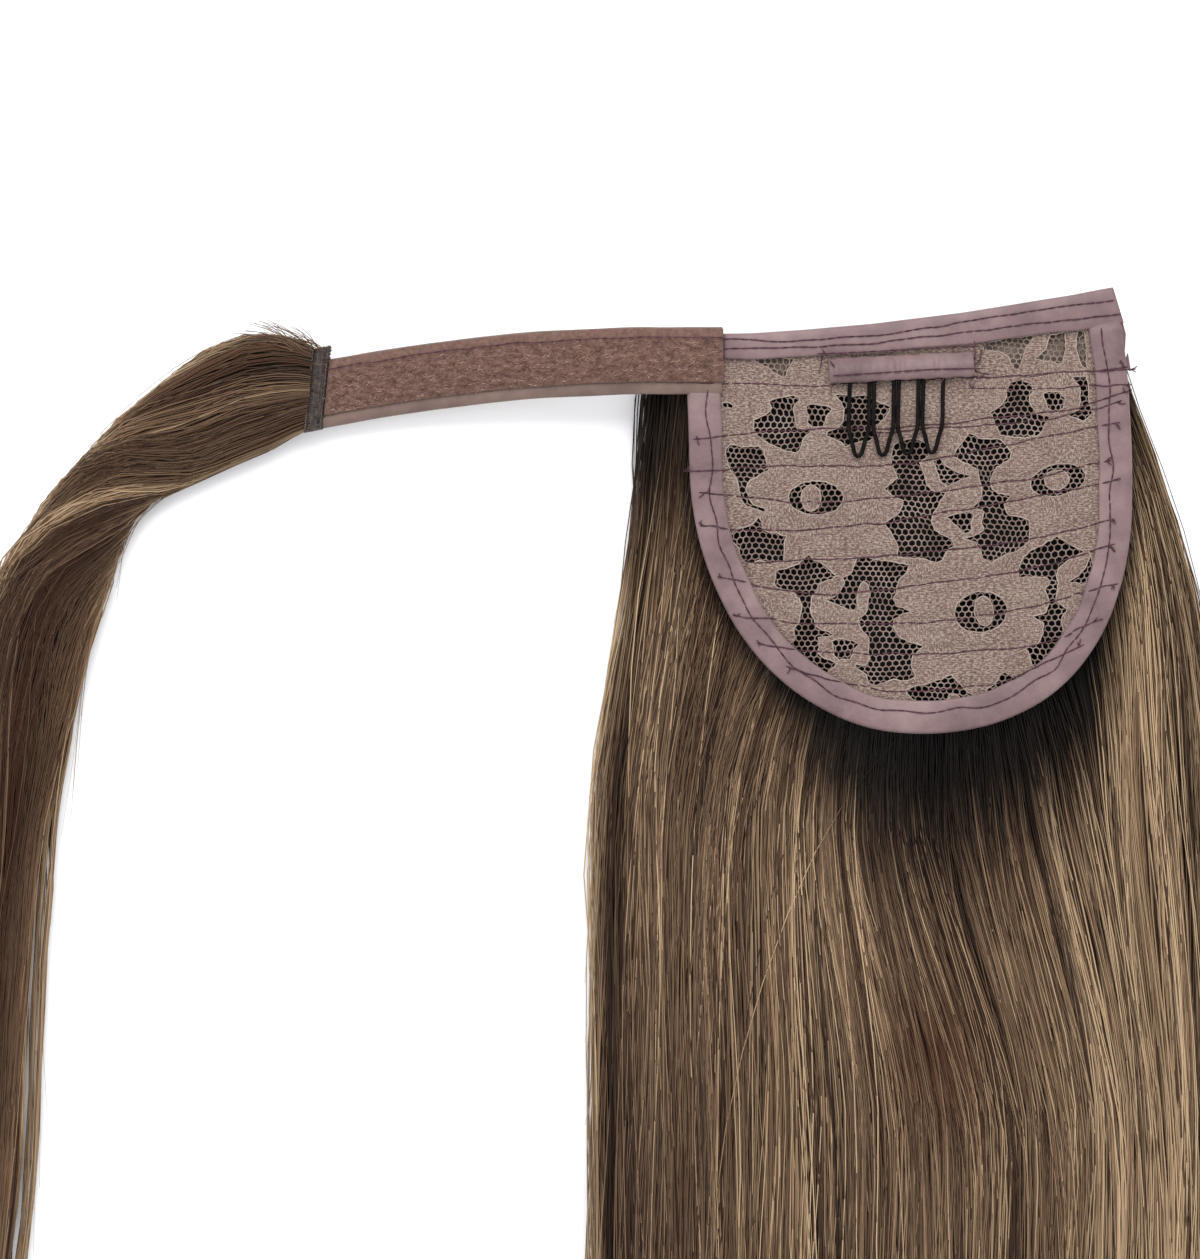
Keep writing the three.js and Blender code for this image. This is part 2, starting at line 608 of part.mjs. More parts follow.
function frontLock(index) {
  const across = mix(-1, 1, (index + 0.5) / FRONT_LOCKS);
  const first = FRONT_PROFILE[0].down;
  const end = FRONT_PROFILE[FRONT_PROFILE.length - 1].down - TIP_STAGGER * ((index * 3) % 4);
  const rim = 1 - FRONT_EDGE_FALL * across * across;
  const stations = [];
  for (let i = 0; i <= LOCK_STATIONS; i++) {
    const share = bunched(i / LOCK_STATIONS);
    const down = mix(first, end, share);
    const narrow = readTable(FRONT_PROFILE, "narrow", "down", down);
    const { x, y, span } = hairPlace(across * narrow, down);
    const top = readTable(FRONT_PROFILE, "top", "down", down) * HAIR_DEPTH * rim;
    const wide = ((span * narrow) / FRONT_LOCKS) * FRONT_OVERLAP * lockWidth(share);
    stations.push({
      origin: new THREE.Vector3(x, y, 0),
      side: new THREE.Vector2(1, 0),
      section: lockSection(wide, top * FRONT_UNDERCUT, top),
    });
  }
  return solidOf(loft(stations));
}

// The rows of hair sewn under the pad, as one block that the locks grow out of.
function hairHead() {
  const rim = EDGE.map((place) => edgeAt(place, HEAD_INSET));
  const [left, right] = [rim[0].x, rim[rim.length - 1].x];
  const top = Math.min(HAIR_START, BAND_TOP_LEFT - HEAD_INSET);
  return plate([new THREE.Vector2(left, top), ...rim, new THREE.Vector2(right, top)], 0, HEAD_DEPTH);
}

// The room that the pad and the strap take above the hair.
function padRoom() {
  const tall = HAIR_DEPTH * 2;
  const rim = EDGE.map((place) => edgeAt(place, -CLEARANCE));
  const [left, right] = [rim[0].x, rim[rim.length - 1].x + BAND_LEAN];
  const top = bandTop(1) + BAND_LEAN;
  return plate([new THREE.Vector2(left, top), ...rim, new THREE.Vector2(right, top)], HEAD_DEPTH, tall);
}

function strapRoom() {
  const half = STRAP_WIDTH / 2 + CLEARANCE;
  return solidOf(strapRibbon(FLANGE_UNDERSIDE - CLEARANCE, HAIR_DEPTH * 2, -half, half));
}

function ponytailHair() {
  const solids = [hairHead()];
  for (let i = 0; i < BACK_LOCKS; i++) solids.push(backLock(i));
  for (let i = 0; i < FRONT_LOCKS; i++) solids.push(frontLock(i));
  return geometryFrom(joined(solids).subtract(padRoom()).subtract(strapRoom()));
}

// The stitched head of the wrapping strand butts against the strap's end.
const STRAP_TIP = strapPlace(STRAP_LENGTH);
const WEFT_HEIGHT = (PAD_TOP + FLANGE_UNDERSIDE) / 2 - STRAP_DESCENT;

function alongStrap(distance) {
  const { x, y, side } = STRAP_TIP;
  return new THREE.Vector3(x - side.y * distance, y + side.x * distance, 0);
}

function wrapWeft() {
  const half = WEFT_WIDTH / 2;
  const stations = [0, 0.25, 0.5, 0.75, 1].map((share) => {
    const swell = (WEFT_DEPTH / 2) * mix(1, WEFT_GROOVE, Math.cos(2 * Math.PI * share) ** 2);
    const rounding = WEFT_DEPTH * WEFT_ROUNDING;
    return {
      origin: alongStrap(CLEARANCE + share * WEFT_LENGTH).setZ(WEFT_HEIGHT),
      side: STRAP_TIP.side,
      section: [
        { across: -half, up: -swell + rounding },
        { across: -half + rounding, up: -swell },
        { across: half - rounding, up: -swell },
        { across: half, up: -swell + rounding },
        { across: half, up: swell - rounding },
        { across: half - rounding, up: swell },
        { across: -half + rounding, up: swell },
        { across: -half, up: swell - rounding },
      ],
    };
  });
  return loft(stations);
}

// The strand starts at the stitched head, so its route is carried along with the head's far face.
const WRAP_START = alongStrap(2 * CLEARANCE + WEFT_LENGTH);
const WRAP_LINE = new THREE.CatmullRomCurve3(
  WRAP_ROUTE.map(
    ({ across, down }) =>
      new THREE.Vector3(WRAP_START.x - across * WRAP_SPREAD, WRAP_START.y - down * WRAP_DROP, 0),
  ),
  false,
  "centripetal",
);

function wrapLock(index) {
  const stations = [];
  const end = 1 - TIP_STAGGER * ((index * 2) % WRAP_LOCKS);
  for (let i = 0; i <= WRAP_STATIONS; i++) {
    const share = (end * i) / WRAP_STATIONS;
    const row = Math.min(share * (WRAP_ROUTE.length - 1), WRAP_ROUTE.length - 1.001);
    const [a, b] = [WRAP_ROUTE[Math.floor(row)], WRAP_ROUTE[Math.floor(row) + 1]];
    const wide = (mix(a.wide, b.wide, row % 1) * WRAP_WIDTH) / 2;
    const high = mix(a.high, b.high, row % 1) * WRAP_DEPTH;
    const along = WRAP_LINE.getTangent(share);
    const side = i === 0 ? STRAP_TIP.side.clone().negate() : new THREE.Vector2(-along.y, along.x);
    const turn = 2 * Math.PI * (index / WRAP_LOCKS + WRAP_TWIST * share);
    const landed = Math.min(1, share / WRAP_LANDING);
    const lift = Math.max(0, WEFT_HEIGHT - high / 2) * (1 - smoothstep(landed));
    const play = (1 - WRAP_LOCK_DEPTH) / 2;
    const middle = high * (0.5 + play * Math.sin(turn)) + lift;
    const shift = wide * WRAP_LOCK_SHARE * Math.cos(turn);
    const reach = (high * WRAP_LOCK_DEPTH) / 2;
    const section = lockSection(wide * WRAP_LOCK_SHARE, middle - reach, middle + reach);
    stations.push({
      origin: WRAP_LINE.getPoint(share).add(new THREE.Vector3(side.x * shift, side.y * shift, 0)),
      side,
      section,
    });
  }
  return solidOf(loft(stations));
}

function wrapStrand() {
  const solids = [];
  for (let i = 0; i < WRAP_LOCKS; i++) solids.push(wrapLock(i));
  return geometryFrom(joined(solids));
}

const cloth = (color, roughness) => new THREE.MeshStandardMaterial({ color, roughness, metalness: 0 });
const laceCloth = cloth(0xa58f85, 0.85);
const mauveSatin = cloth(0xa58b8b, 0.45);
const loopPile = cloth(0x7e6257, 0.95);
const brownHair = cloth(0x6b5540, 0.5);
const weftThread = cloth(0x4b4038, 0.8);
const blackWire = new THREE.MeshStandardMaterial({ color: 0x16120f, roughness: 0.4, metalness: 0.6 });

function piece(name, geometry, material) {
  const mesh = new THREE.Mesh(geometry, material);
  mesh.name = name;
  return mesh;
}

const comb = new THREE.Group();
comb.add(piece("wire_comb", wireComb(), blackWire), piece("comb_patch", combPatch(), mauveSatin));
comb.position.set(COMB_X, combY(), COMB_HEIGHT);
comb.rotation.z = THREE.MathUtils.degToRad(PATCH_TILT);

const hairpiece = new THREE.Group();
hairpiece.add(
  piece("lace_pad", lacePad(), laceCloth),
  piece("edge_binding", edgeBinding(), mauveSatin),
  piece("strap_band", strapBand(), mauveSatin),
  piece("loop_tape", loopTape(), loopPile),
  comb,
  piece("ponytail_hair", ponytailHair(), brownHair),
  piece("wrap_weft", wrapWeft(), weftThread),
  piece("wrap_strand", wrapStrand(), brownHair),
);

// The part's origin is the middle of its outline, on the table.
const box = new THREE.Box3().setFromObject(hairpiece);
const middle = box.getCenter(new THREE.Vector3());
hairpiece.position.set(-middle.x, -middle.y, -box.min.z);

export default hairpiece;
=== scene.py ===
# %% [markdown]
# # A wrap-around ponytail hairpiece, lying lace side up
# The real thing is a pad of knitted lace in a satin binding, with a wire comb, a strap of loop tape, a
# strand of hair that wraps round the ponytail, and long straight hair sewn to the pad in rows. Thread and
# hair decide how it looks, so most cells below make lines: they compute routes, and Geometry Nodes turn
# these into tubes, stitches and loops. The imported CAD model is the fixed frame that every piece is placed
# on.

# %% Load the frame
import math

import bmesh
import bpy
import numpy as np
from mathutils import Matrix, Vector
from mathutils.bvhtree import BVHTree
from mathutils.geometry import delaunay_2d_cdt


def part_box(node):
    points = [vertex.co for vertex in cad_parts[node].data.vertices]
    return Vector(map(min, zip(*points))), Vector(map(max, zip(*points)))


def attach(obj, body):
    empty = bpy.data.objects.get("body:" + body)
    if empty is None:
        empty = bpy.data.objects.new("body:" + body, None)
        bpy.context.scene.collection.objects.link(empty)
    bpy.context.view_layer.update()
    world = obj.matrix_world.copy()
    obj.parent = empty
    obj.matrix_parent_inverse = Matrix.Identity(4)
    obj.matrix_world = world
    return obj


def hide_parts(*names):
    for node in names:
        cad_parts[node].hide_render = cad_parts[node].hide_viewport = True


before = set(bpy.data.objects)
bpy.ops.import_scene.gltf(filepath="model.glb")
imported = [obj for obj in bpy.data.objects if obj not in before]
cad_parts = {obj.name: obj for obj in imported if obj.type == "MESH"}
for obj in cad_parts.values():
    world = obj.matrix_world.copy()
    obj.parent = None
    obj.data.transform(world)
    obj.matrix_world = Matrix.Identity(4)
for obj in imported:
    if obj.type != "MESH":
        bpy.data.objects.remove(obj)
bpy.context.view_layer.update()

# %% [markdown]
# All sizes here are millimetres from the middle of the pad, because the pad is what the eye goes to. A place
# in the photograph turns into such millimetres with one scale: 4.2 pixels to a millimetre. Meshes are in
# metres in the frame of the CAD, so one array is added and one factor applied when a mesh is made.

# %% Places
MM = 0.001
PIXELS = 4.2
PHOTO_MIDDLE = np.array([910.0, 510.0])
PAD_HALF = 53.0
PAD_DROP = 53.3
BINDING_LOW, BINDING_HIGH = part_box("edge_binding")
PAD_MIDDLE = np.array([(BINDING_LOW.x + BINDING_HIGH.x) / 2 / MM, BINDING_LOW.y / MM + PAD_DROP, 0.0])
LACE_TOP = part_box("lace_pad")[1].z / MM
LACE_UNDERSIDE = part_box("lace_pad")[0].z / MM
FLANGE_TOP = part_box("edge_binding")[1].z / MM


def photo(*pixels):
    """Places in the photograph as millimetres from the pad's middle."""
    return (np.array(pixels, float) - PHOTO_MIDDLE) * [1, -1] / PIXELS


def smooth(x, low=0.0, high=1.0):
    """From 0 at low to 1 at high, without a corner."""
    share = np.clip((np.asarray(x, float) - low) / (high - low), 0, 1)
    return share * share * (3 - 2 * share)


def mix(a, b, share):
    return a + (b - a) * share


print(
    "pad's middle in the frame, mm:",
    PAD_MIDDLE.round(2),
    "lace:",
    round(LACE_UNDERSIDE, 2),
    round(LACE_TOP, 2),
)

# %% [markdown]
# The camera looks straight down, as in the photograph, from 1.2 m above the pad. The floor is a white sweep
# and the light is a large soft box beyond the strap, so that the satin shines a little towards the top and
# the shadows stay soft.

# %% Camera, floor and light
VIEW_HEIGHT = 0.2998
CAMERA_RISE = 1.2
CAMERA_FROM_PAD = (-73.81, -28.45)
SENSOR = 36.0
camera_data = bpy.data.cameras.new("camera")
camera_data.sensor_width = SENSOR
camera_data.lens = SENSOR * CAMERA_RISE / VIEW_HEIGHT
camera = bpy.data.objects.new("camera", camera_data)
camera.location = (
    (PAD_MIDDLE[0] + CAMERA_FROM_PAD[0]) * MM,
    (PAD_MIDDLE[1] + CAMERA_FROM_PAD[1]) * MM,
    CAMERA_RISE + LACE_TOP * MM,
)
bpy.context.collection.objects.link(camera)
bpy.context.scene.camera = camera
bpy.context.scene.view_settings.view_transform = "Standard"


def colour(code):
    """A hex sRGB colour as linear RGBA."""
    parts = [int(code[i : i + 2], 16) / 255 for i in (1, 3, 5)]
    return (*[v / 12.92 if v <= 0.04045 else ((v + 0.055) / 1.055) ** 2.4 for v in parts], 1.0)


def add_node(tree, kind, inputs=None, stops=(), **settings):
    """Adds a node with its settings, colour stops and inputs. A node as a value gives its first output."""
    made = tree.nodes.new(kind)
    for key, value in settings.items():
        setattr(made, key, value)
    while stops and len(made.color_ramp.elements) < len(stops):
        made.color_ramp.elements.new(0.5)
    for number, (place, code) in enumerate(stops):
        made.color_ramp.elements[number].position = place
        made.color_ramp.elements[number].color = colour(code)
    for key, value in (inputs or {}).items():
        if isinstance(value, bpy.types.Node):
            value = value.outputs[0]
        if isinstance(value, bpy.types.NodeSocket):
            tree.links.new(value, made.inputs[key])
        else:
            made.inputs[key].default_value = value
    return made


def new_material(name, **values):
    """A node material: its tree and its shader, with values on the shader's own sockets."""
    made = bpy.data.materials.new(name)
    made.use_nodes = True
    tree = made.node_tree
    tree.nodes.clear()
    shader = add_node(tree, "ShaderNodeBsdfPrincipled")
    for key, value in values.items():
        shader.inputs[key.replace("_", " ")].default_value = value
    add_node(tree, "ShaderNodeOutputMaterial", {"Surface": shader})
    return made, tree, shader


def noisy_material(name, scale, detail, *stops, **values):
    """A material whose colour changes with a noise of a scale in cells to a metre."""
    made, tree, shader = new_material(name, **values)
    where = add_node(tree, "ShaderNodeTexCoord").outputs["Object"]
    noise = add_node(tree, "ShaderNodeTexNoise", {"Vector": where, "Scale": scale, "Detail": detail})
    shade = add_node(tree, "ShaderNodeValToRGB", {"Fac": noise}, stops=stops)
    tree.links.new(shade.outputs["Color"], shader.inputs["Base Color"])
    return made


floor_material = new_material("white_paper_sweep", Base_Color=colour("#F6F6F6"), Roughness=0.9)[0]
floor_mesh = bpy.data.meshes.new("floor")
floor_mesh.from_pydata([(-4, -4, 0), (4, -4, 0), (4, 4, 0), (-4, 4, 0)], [], [(0, 1, 2, 3)])
floor_mesh.materials.append(floor_material)
floor = bpy.data.objects.new("floor", floor_mesh)
bpy.context.collection.objects.link(floor)

world = bpy.data.worlds.new("soft studio")
world.use_nodes = True
world.node_tree.nodes["Background"].inputs["Color"].default_value = colour("#F8F9FC")
world.node_tree.nodes["Background"].inputs["Strength"].default_value = 1.15
bpy.context.scene.world = world


def soft_box(name, place, size, watts):
    """A square area light that faces the hairpiece."""
    data = bpy.data.lights.new(name, "AREA")
    data.size = size
    data.energy = watts
    made = bpy.data.objects.new(name, data)
    made.location = place
    made.rotation_euler = (Vector((0.03, 0.05, 0)) - Vector(place)).to_track_quat("-Z", "Y").to_euler()
    bpy.context.collection.objects.link(made)
    return made


soft_box("soft box beyond the strap", (0.1, 1.0, 1.1), 0.9, 16.0)
soft_box("small fill from the left", (-1.1, -0.2, 1.0), 0.9, 5.0)
print("camera at", [round(v, 4) for v in camera.location], "lens", round(camera_data.lens, 1))

# %% [markdown]
# A mesh comes from arrays of points and faces. A closed body along a route is a loft: a ring of points for
# each station, quads between the rings and a cap on each end. Routes for threads and hair are kept as plain
# edges with their radius and tone on each point, which is all that Geometry Nodes need to make tubes.


# %% Mesh helpers
def new_piece(name, points, faces, material, values=None, flat=False):
    """A mesh object in the frame from millimetres round the pad's middle."""
    mesh = bpy.data.meshes.new(name)
    mesh.from_pydata((np.asarray(points, float) + PAD_MIDDLE) * MM, [], faces)
    mesh.update()
    for key, numbers in (values or {}).items():
        every = np.zeros(len(points), np.float32) + np.asarray(numbers, np.float32)
        mesh.attributes.new(key, "FLOAT", "POINT").data.foreach_set("value", every)
    mesh.materials.append(material)
    if not flat:
        mesh.shade_smooth()
    made = bpy.data.objects.new(name, mesh)
    bpy.context.collection.objects.link(made)
    return made


def loft(rings):
    """Points and outward faces of a closed body through rings of equal length."""
    rings = np.asarray(rings, float)
    count, sides = rings.shape[:2]
    points = rings.reshape(-1, 3)
    first = np.arange(count - 1)[:, None] * sides
    k = np.arange(sides)[None, :]
    after = (k + 1) % sides
    quads = np.stack([first + k, first + after, first + sides + after, first + sides + k], axis=2)
    faces = [tuple(int(i) for i in quad) for quad in quads.reshape(-1, 4)]
    faces.append(tuple(range(sides - 1, -1, -1)))
    faces.append(tuple(range((count - 1) * sides, count * sides)))
    return points, faces


def turned_outwards(piece):
    """Recalculates the normals of a closed body that code has lofted in either direction."""
    body = bmesh.new()
    body.from_mesh(piece.data)
    bmesh.ops.recalc_face_normals(body, faces=body.faces)
    body.to_mesh(piece.data)
    body.free()
    return piece


def triangles(piece):
    return sum(len(face.vertices) - 2 for face in piece.data.polygons)


def finish_piece(piece, slot, *nodes):
    """Rides on the one body and stands for CAD nodes."""
    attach(piece, "root")
    if nodes:
        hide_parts(*nodes)
    print(f"{piece.name}: {triangles(piece)} triangles")
    return piece


def solid(name, rings, material, slot, *nodes, values=None):
    """A finished closed body through rings in millimetres."""
    points, faces = loft(rings)
    return finish_piece(
        turned_outwards(new_piece(name, points, faces, material, values=values)), slot, *nodes
    )


def resampled(points, step):
    """A polyline at even steps of about the given length."""
    points = np.asarray(points, float)
    run = np.concatenate([[0], np.cumsum(np.linalg.norm(np.diff(points, axis=0), axis=1))])
    count = max(2, int(round(run[-1] / step)) + 1)
    at = np.linspace(0, run[-1], count)
    return np.stack([np.interp(at, run, points[:, i]) for i in range(points.shape[1])], axis=1)


def curved(points, step):
    """A smooth line through a few points, as a Catmull-Rom spline."""
    points = np.asarray(points, float)
    ends = np.vstack([2 * points[0] - points[1], points, 2 * points[-1] - points[-2]])
    t = np.linspace(0, 1, 13)[:-1, None]
    parts = []
    for a, b, c, d in zip(ends, ends[1:], ends[2:], ends[3:]):
        parts.append(
            0.5 * (2 * b + (c - a) * t + (2 * a - 5 * b + 4 * c - d) * t**2 + (3 * b - a - 3 * c + d) * t**3)
        )
    return resampled(np.vstack([*parts, points[-1:]]), step)


def nearest(points, targets):
    """Distance to the nearest target and its number, for points in parts that fit in memory."""
    far, index = np.empty(len(points)), np.empty(len(points), int)
    for start in range(0, len(points), 4000):
        here = slice(start, start + 4000)
        apart = np.linalg.norm(points[here, None, :] - targets[None, :, :], axis=2)
        far[here], index[here] = apart.min(axis=1), apart.argmin(axis=1)
    return far, index


def between(grid, step, first_x, first_y, x, y):
    """Values between the points of a grid."""
    u = np.clip((x - first_x) / step, 0, grid.shape[1] - 1.001)
    v = np.clip((y - first_y) / step, 0, grid.shape[0] - 1.001)
    i, j = u.astype(int), v.astype(int)
    u, v = u - i, v - j
    return mix(mix(grid[j, i], grid[j, i + 1], u), mix(grid[j + 1, i], grid[j + 1, i + 1], u), v)


def noise_line(count, step, reach, seed):
    """A smooth random line of the given reach: white noise that a wide window has averaged."""
    made = np.random.default_rng(seed).normal(size=count + 6 * step)
    window = np.hanning(2 * step + 1)
    made = np.convolve(made, window / window.sum(), "same")[3 * step : 3 * step + count]
    return reach * made / max(made.std(), 1e-9)


# %% [markdown]
# ## One tree for all tubes
# Hair, thread, wire and net are all thin round tubes along a route. The tree takes edges, turns them into
# curves, and sweeps a circle along them, scaled by the radius that each point carries. Three sides are enough
# for a hair that is a pixel wide. Tone and shade travel along with the points and reach the material.


# %% Tubes along paths
def new_tree(name, inputs):
    """An empty geometry tree with named inputs; returns the tree and its input node."""
    made = bpy.data.node_groups.new(name, "GeometryNodeTree")
    for label, kind in inputs:
        made.interface.new_socket(label, in_out="INPUT", socket_type="NodeSocket" + kind)
    made.interface.new_socket("Result", in_out="OUTPUT", socket_type="NodeSocketGeometry")
    return made, add_node(made, "NodeGroupInput").outputs


def close_tree(made, given, geometry):
    """Ends a tree in real geometry with its material."""
    real = add_node(made, "GeometryNodeRealizeInstances", {"Geometry": geometry})
    dressed = add_node(made, "GeometryNodeSetMaterial", {"Geometry": real, "Material": given["Material"]})
    add_node(made, "NodeGroupOutput", {"Result": dressed})


def grown(name, tree, start, **inputs):
    """Runs a tree on an object and keeps the result as a plain mesh at the origin."""
    modifier = start.modifiers.new("grow", "NODES")
    modifier.node_group = tree
    sockets = {item.name: item.identifier for item in tree.interface.items_tree if item.in_out == "INPUT"}
    for label, value in inputs.items():
        modifier[sockets[label.replace("_", " ")]] = value
    evaluated = start.evaluated_get(bpy.context.evaluated_depsgraph_get())
    mesh = bpy.data.meshes.new_from_object(evaluated)
    start.modifiers.remove(modifier)
    bpy.data.objects.remove(start)
    mesh.name = name
    mesh.shade_smooth()
    made = bpy.data.objects.new(name, mesh)
    bpy.context.collection.objects.link(made)
    return made


tube_tree, given = new_tree(
    "Tubes along paths", [("Paths", "Geometry"), ("Sides", "Int"), ("Material", "Material")]
)
curves = add_node(tube_tree, "GeometryNodeMeshToCurve", {"Mesh": given["Paths"]})
circle = add_node(
    tube_tree, "GeometryNodeCurvePrimitiveCircle", {"Resolution": given["Sides"], "Radius": 1.0}
)
radius = add_node(tube_tree, "GeometryNodeInputNamedAttribute", {"Name": "radius_m"}, data_type="FLOAT")
swept = add_node(
    tube_tree,
    "GeometryNodeCurveToMesh",
    {"Curve": curves, "Profile Curve": circle, "Scale": radius, "Fill Caps": True},
)
close_tree(tube_tree, given, swept)


def paths_object(routes, radii, values=None):
    """Edges along each route, with radii in millimetres and other numbers on the points."""
    sizes = [len(route) for route in routes]
    radii = [np.array([radii])] * len(routes) if isinstance(radii, float) else radii
    points = (np.concatenate(routes) + PAD_MIDDLE) * MM
    starts = np.concatenate([[0], np.cumsum(sizes)])
    inner = np.concatenate([np.arange(a, b - 1) for a, b in zip(starts, starts[1:])])
    mesh = bpy.data.meshes.new("paths")
    mesh.from_pydata(points, np.stack([inner, inner + 1], axis=1).tolist(), [])
    wide = np.concatenate([np.broadcast_to(r, n) for r, n in zip(radii, sizes)]) * MM
    mesh.attributes.new("radius_m", "FLOAT", "POINT").data.foreach_set("value", wide.astype(np.float32))
    for key, numbers in (values or {}).items():
        flat = np.concatenate([np.broadcast_to(v, n) for v, n in zip(numbers, sizes)]).astype(np.float32)
        mesh.attributes.new(key, "FLOAT", "POINT").data.foreach_set("value", flat)
    made = bpy.data.objects.new("paths", mesh)
    bpy.context.collection.objects.link(made)
    return made


def tubes(name, routes, radii, material, slot, *nodes, sides=4, values=None):
    """Finished closed tubes along routes in millimetres round the pad's middle."""
    start = paths_object(routes, radii, values)
    return finish_piece(grown(name, tube_tree, start, Sides=sides, Material=material), slot, *nodes)


print("tubes need", len(tube_tree.nodes), "nodes")

# %% [markdown]
# ## Stitches
# A lockstitch seam shows as a row of short thread bars with a dip between them. The tree walks along a seam,
# puts one small capsule down for every stitch, turned along the seam, and varies its length a little.

# %% Stitches along seams
stitch_tree, given = new_tree(
    "Stitches along seams",
    [("Seams", "Geometry"), ("Stitch length", "Float"), ("Thread width", "Float"), ("Material", "Material")],
)
curves = add_node(stitch_tree, "GeometryNodeMeshToCurve", {"Mesh": given["Seams"]})
places = add_node(
    stitch_tree,
    "GeometryNodeResampleCurve",
    {"Curve": curves, "Length": given["Stitch length"]},
    mode="LENGTH",
)
capsule = add_node(stitch_tree, "GeometryNodeMeshUVSphere", {"Segments": 6, "Rings": 4, "Radius": 0.5})
half_turn = add_node(
    stitch_tree,
    "GeometryNodeTransform",
    {"Geometry": capsule, "Rotation": (0.0, math.pi / 2, 0.0)},
)
tangent = add_node(stitch_tree, "GeometryNodeInputTangent")
aligned = add_node(stitch_tree, "FunctionNodeAlignRotationToVector", {"Vector": tangent}, axis="X")
varied = add_node(stitch_tree, "FunctionNodeRandomValue", {2: 0.98, 3: 1.35, "Seed": 4}, data_type="FLOAT")
long_side = add_node(
    stitch_tree,
    "ShaderNodeMath",
    {0: given["Stitch length"], 1: varied.outputs[1]},
    operation="MULTIPLY",
)
size = add_node(
    stitch_tree,
    "ShaderNodeCombineXYZ",
    {"X": long_side, "Y": given["Thread width"], "Z": given["Thread width"]},
)
sewn = add_node(
    stitch_tree,
    "GeometryNodeInstanceOnPoints",
    {"Points": places, "Instance": half_turn, "Rotation": aligned, "Scale": size},
)
close_tree(stitch_tree, given, sewn)


def stitches(name, seams, length=2.3, width=0.42):
    """Thread bars along seams in millimetres round the pad's middle."""
    sizes = {"Stitch_length": length * MM, "Thread_width": width * MM}
    made = grown(name, stitch_tree, paths_object(seams, 0.1), Material=thread_purple, **sizes)
    return finish_piece(made, "weft_thread")


print("stitches need", len(stitch_tree.nodes), "nodes")

# %% [markdown]
# ## Thread, satin and lace cloth
# The thread is spun polyester: dull, with a faint twist. The binding and strap are mauve polyester satin:
# a soft sheen across fine warp threads, a little darker where it has been handled. The lace is warp-knitted
# polyamide: beige-pink cloth of fine ribs, and between the motifs a net of single threads.

# %% Cloth materials
DULL = {"Roughness": 0.75, "Specular_IOR_Level": 0.2}
thread_purple = noisy_material(
    "spun_polyester_thread", 900.0, 2.0, (0.3, "#26141A"), (0.7, "#573640"), **DULL
)


def satin(name, dark, mid, light):
    """Woven satin: fine warp threads, soft clouds of colour and a sheen."""
    sheen = {"Sheen_Weight": 0.08, "Sheen_Roughness": 0.4}
    made, tree, shader = new_material(name, Roughness=0.5, Specular_IOR_Level=0.3, **sheen)
    where = add_node(tree, "ShaderNodeTexCoord").outputs["Object"]
    clouds = add_node(
        tree, "ShaderNodeTexNoise", {"Vector": where, "Scale": 70.0, "Detail": 4.0, "Roughness": 0.6}
    )
    tint = add_node(
        tree, "ShaderNodeValToRGB", {"Fac": clouds}, stops=[(0.3, dark), (0.5, mid), (0.72, light)]
    ).outputs["Color"]
    # Warp threads of 0.12 mm would vanish, so they are drawn 0.45 mm apart
    weave = add_node(tree, "ShaderNodeTexNoise", {"Vector": where, "Scale": 1500.0, "Detail": 2.0})
    worn = add_node(
        tree,
        "ShaderNodeMix",
        {0: 0.12, 6: tint, 7: add_node(
            tree, "ShaderNodeValToRGB", {"Fac": weave}, stops=[(0.3, dark), (0.7, light)]
        )},
        data_type="RGBA",
    )
    tree.links.new(worn.outputs[2], shader.inputs["Base Color"])
    folds = add_node(tree, "ShaderNodeTexNoise", {"Vector": where, "Scale": 210.0, "Detail": 3.0})
    soft = add_node(tree, "ShaderNodeBump", {"Height": folds, "Strength": 0.3, "Distance": 0.0006})
    fine = add_node(
        tree,
        "ShaderNodeBump",
        {"Height": weave, "Strength": 0.25, "Distance": 0.0001, "Normal": soft},
    )
    tree.links.new(fine.outputs["Normal"], shader.inputs["Normal"])
    return made


binding_satin = satin("mauve_polyester_satin", "#574546", "#6E5859", "#826C6B")
strap_satin = satin("brown_satin_of_the_strap", "#503E37", "#64514A", "#78645B")
patch_satin = satin("mauve_satin_of_the_patch", "#4E3D3D", "#675152", "#7E6867")

lace_knit, tree, shader = new_material("warp_knitted_lace_cloth", Roughness=0.85, Specular_IOR_Level=0.25)
where = add_node(tree, "ShaderNodeTexCoord").outputs["Object"]
# Loops of the knit 0.5 mm apart
stitch = add_node(
    tree, "ShaderNodeTexVoronoi", {"Vector": where, "Scale": 2100.0, "Randomness": 0.6}, feature="F1"
)
upright = add_node(tree, "ShaderNodeMapping", {"Vector": where, "Scale": (3000.0, 1200.0, 1.0)})
across = add_node(tree, "ShaderNodeMapping", {"Vector": where, "Scale": (1100.0, 3000.0, 1.0)})
wales = add_node(tree, "ShaderNodeTexNoise", {"Vector": upright, "Scale": 1.0, "Detail": 1.0})
courses = add_node(tree, "ShaderNodeTexNoise", {"Vector": across, "Scale": 1.0, "Detail": 1.0})
areas = add_node(tree, "ShaderNodeTexNoise", {"Vector": where, "Scale": 110.0, "Detail": 1.0})
which = add_node(tree, "ShaderNodeMapRange", {"Value": areas, 1: 0.36, 2: 0.5})
lines = add_node(tree, "ShaderNodeMix", {0: which, 2: wales, 3: courses}, data_type="FLOAT")
holes = add_node(tree, "ShaderNodeMath", {0: stitch.outputs["Distance"], 1: 0.42}, operation="MULTIPLY")
knit = add_node(tree, "ShaderNodeMath", {0: lines, 1: holes}, operation="SUBTRACT")
clouds = add_node(tree, "ShaderNodeTexNoise", {"Vector": where, "Scale": 120.0, "Detail": 3.0})
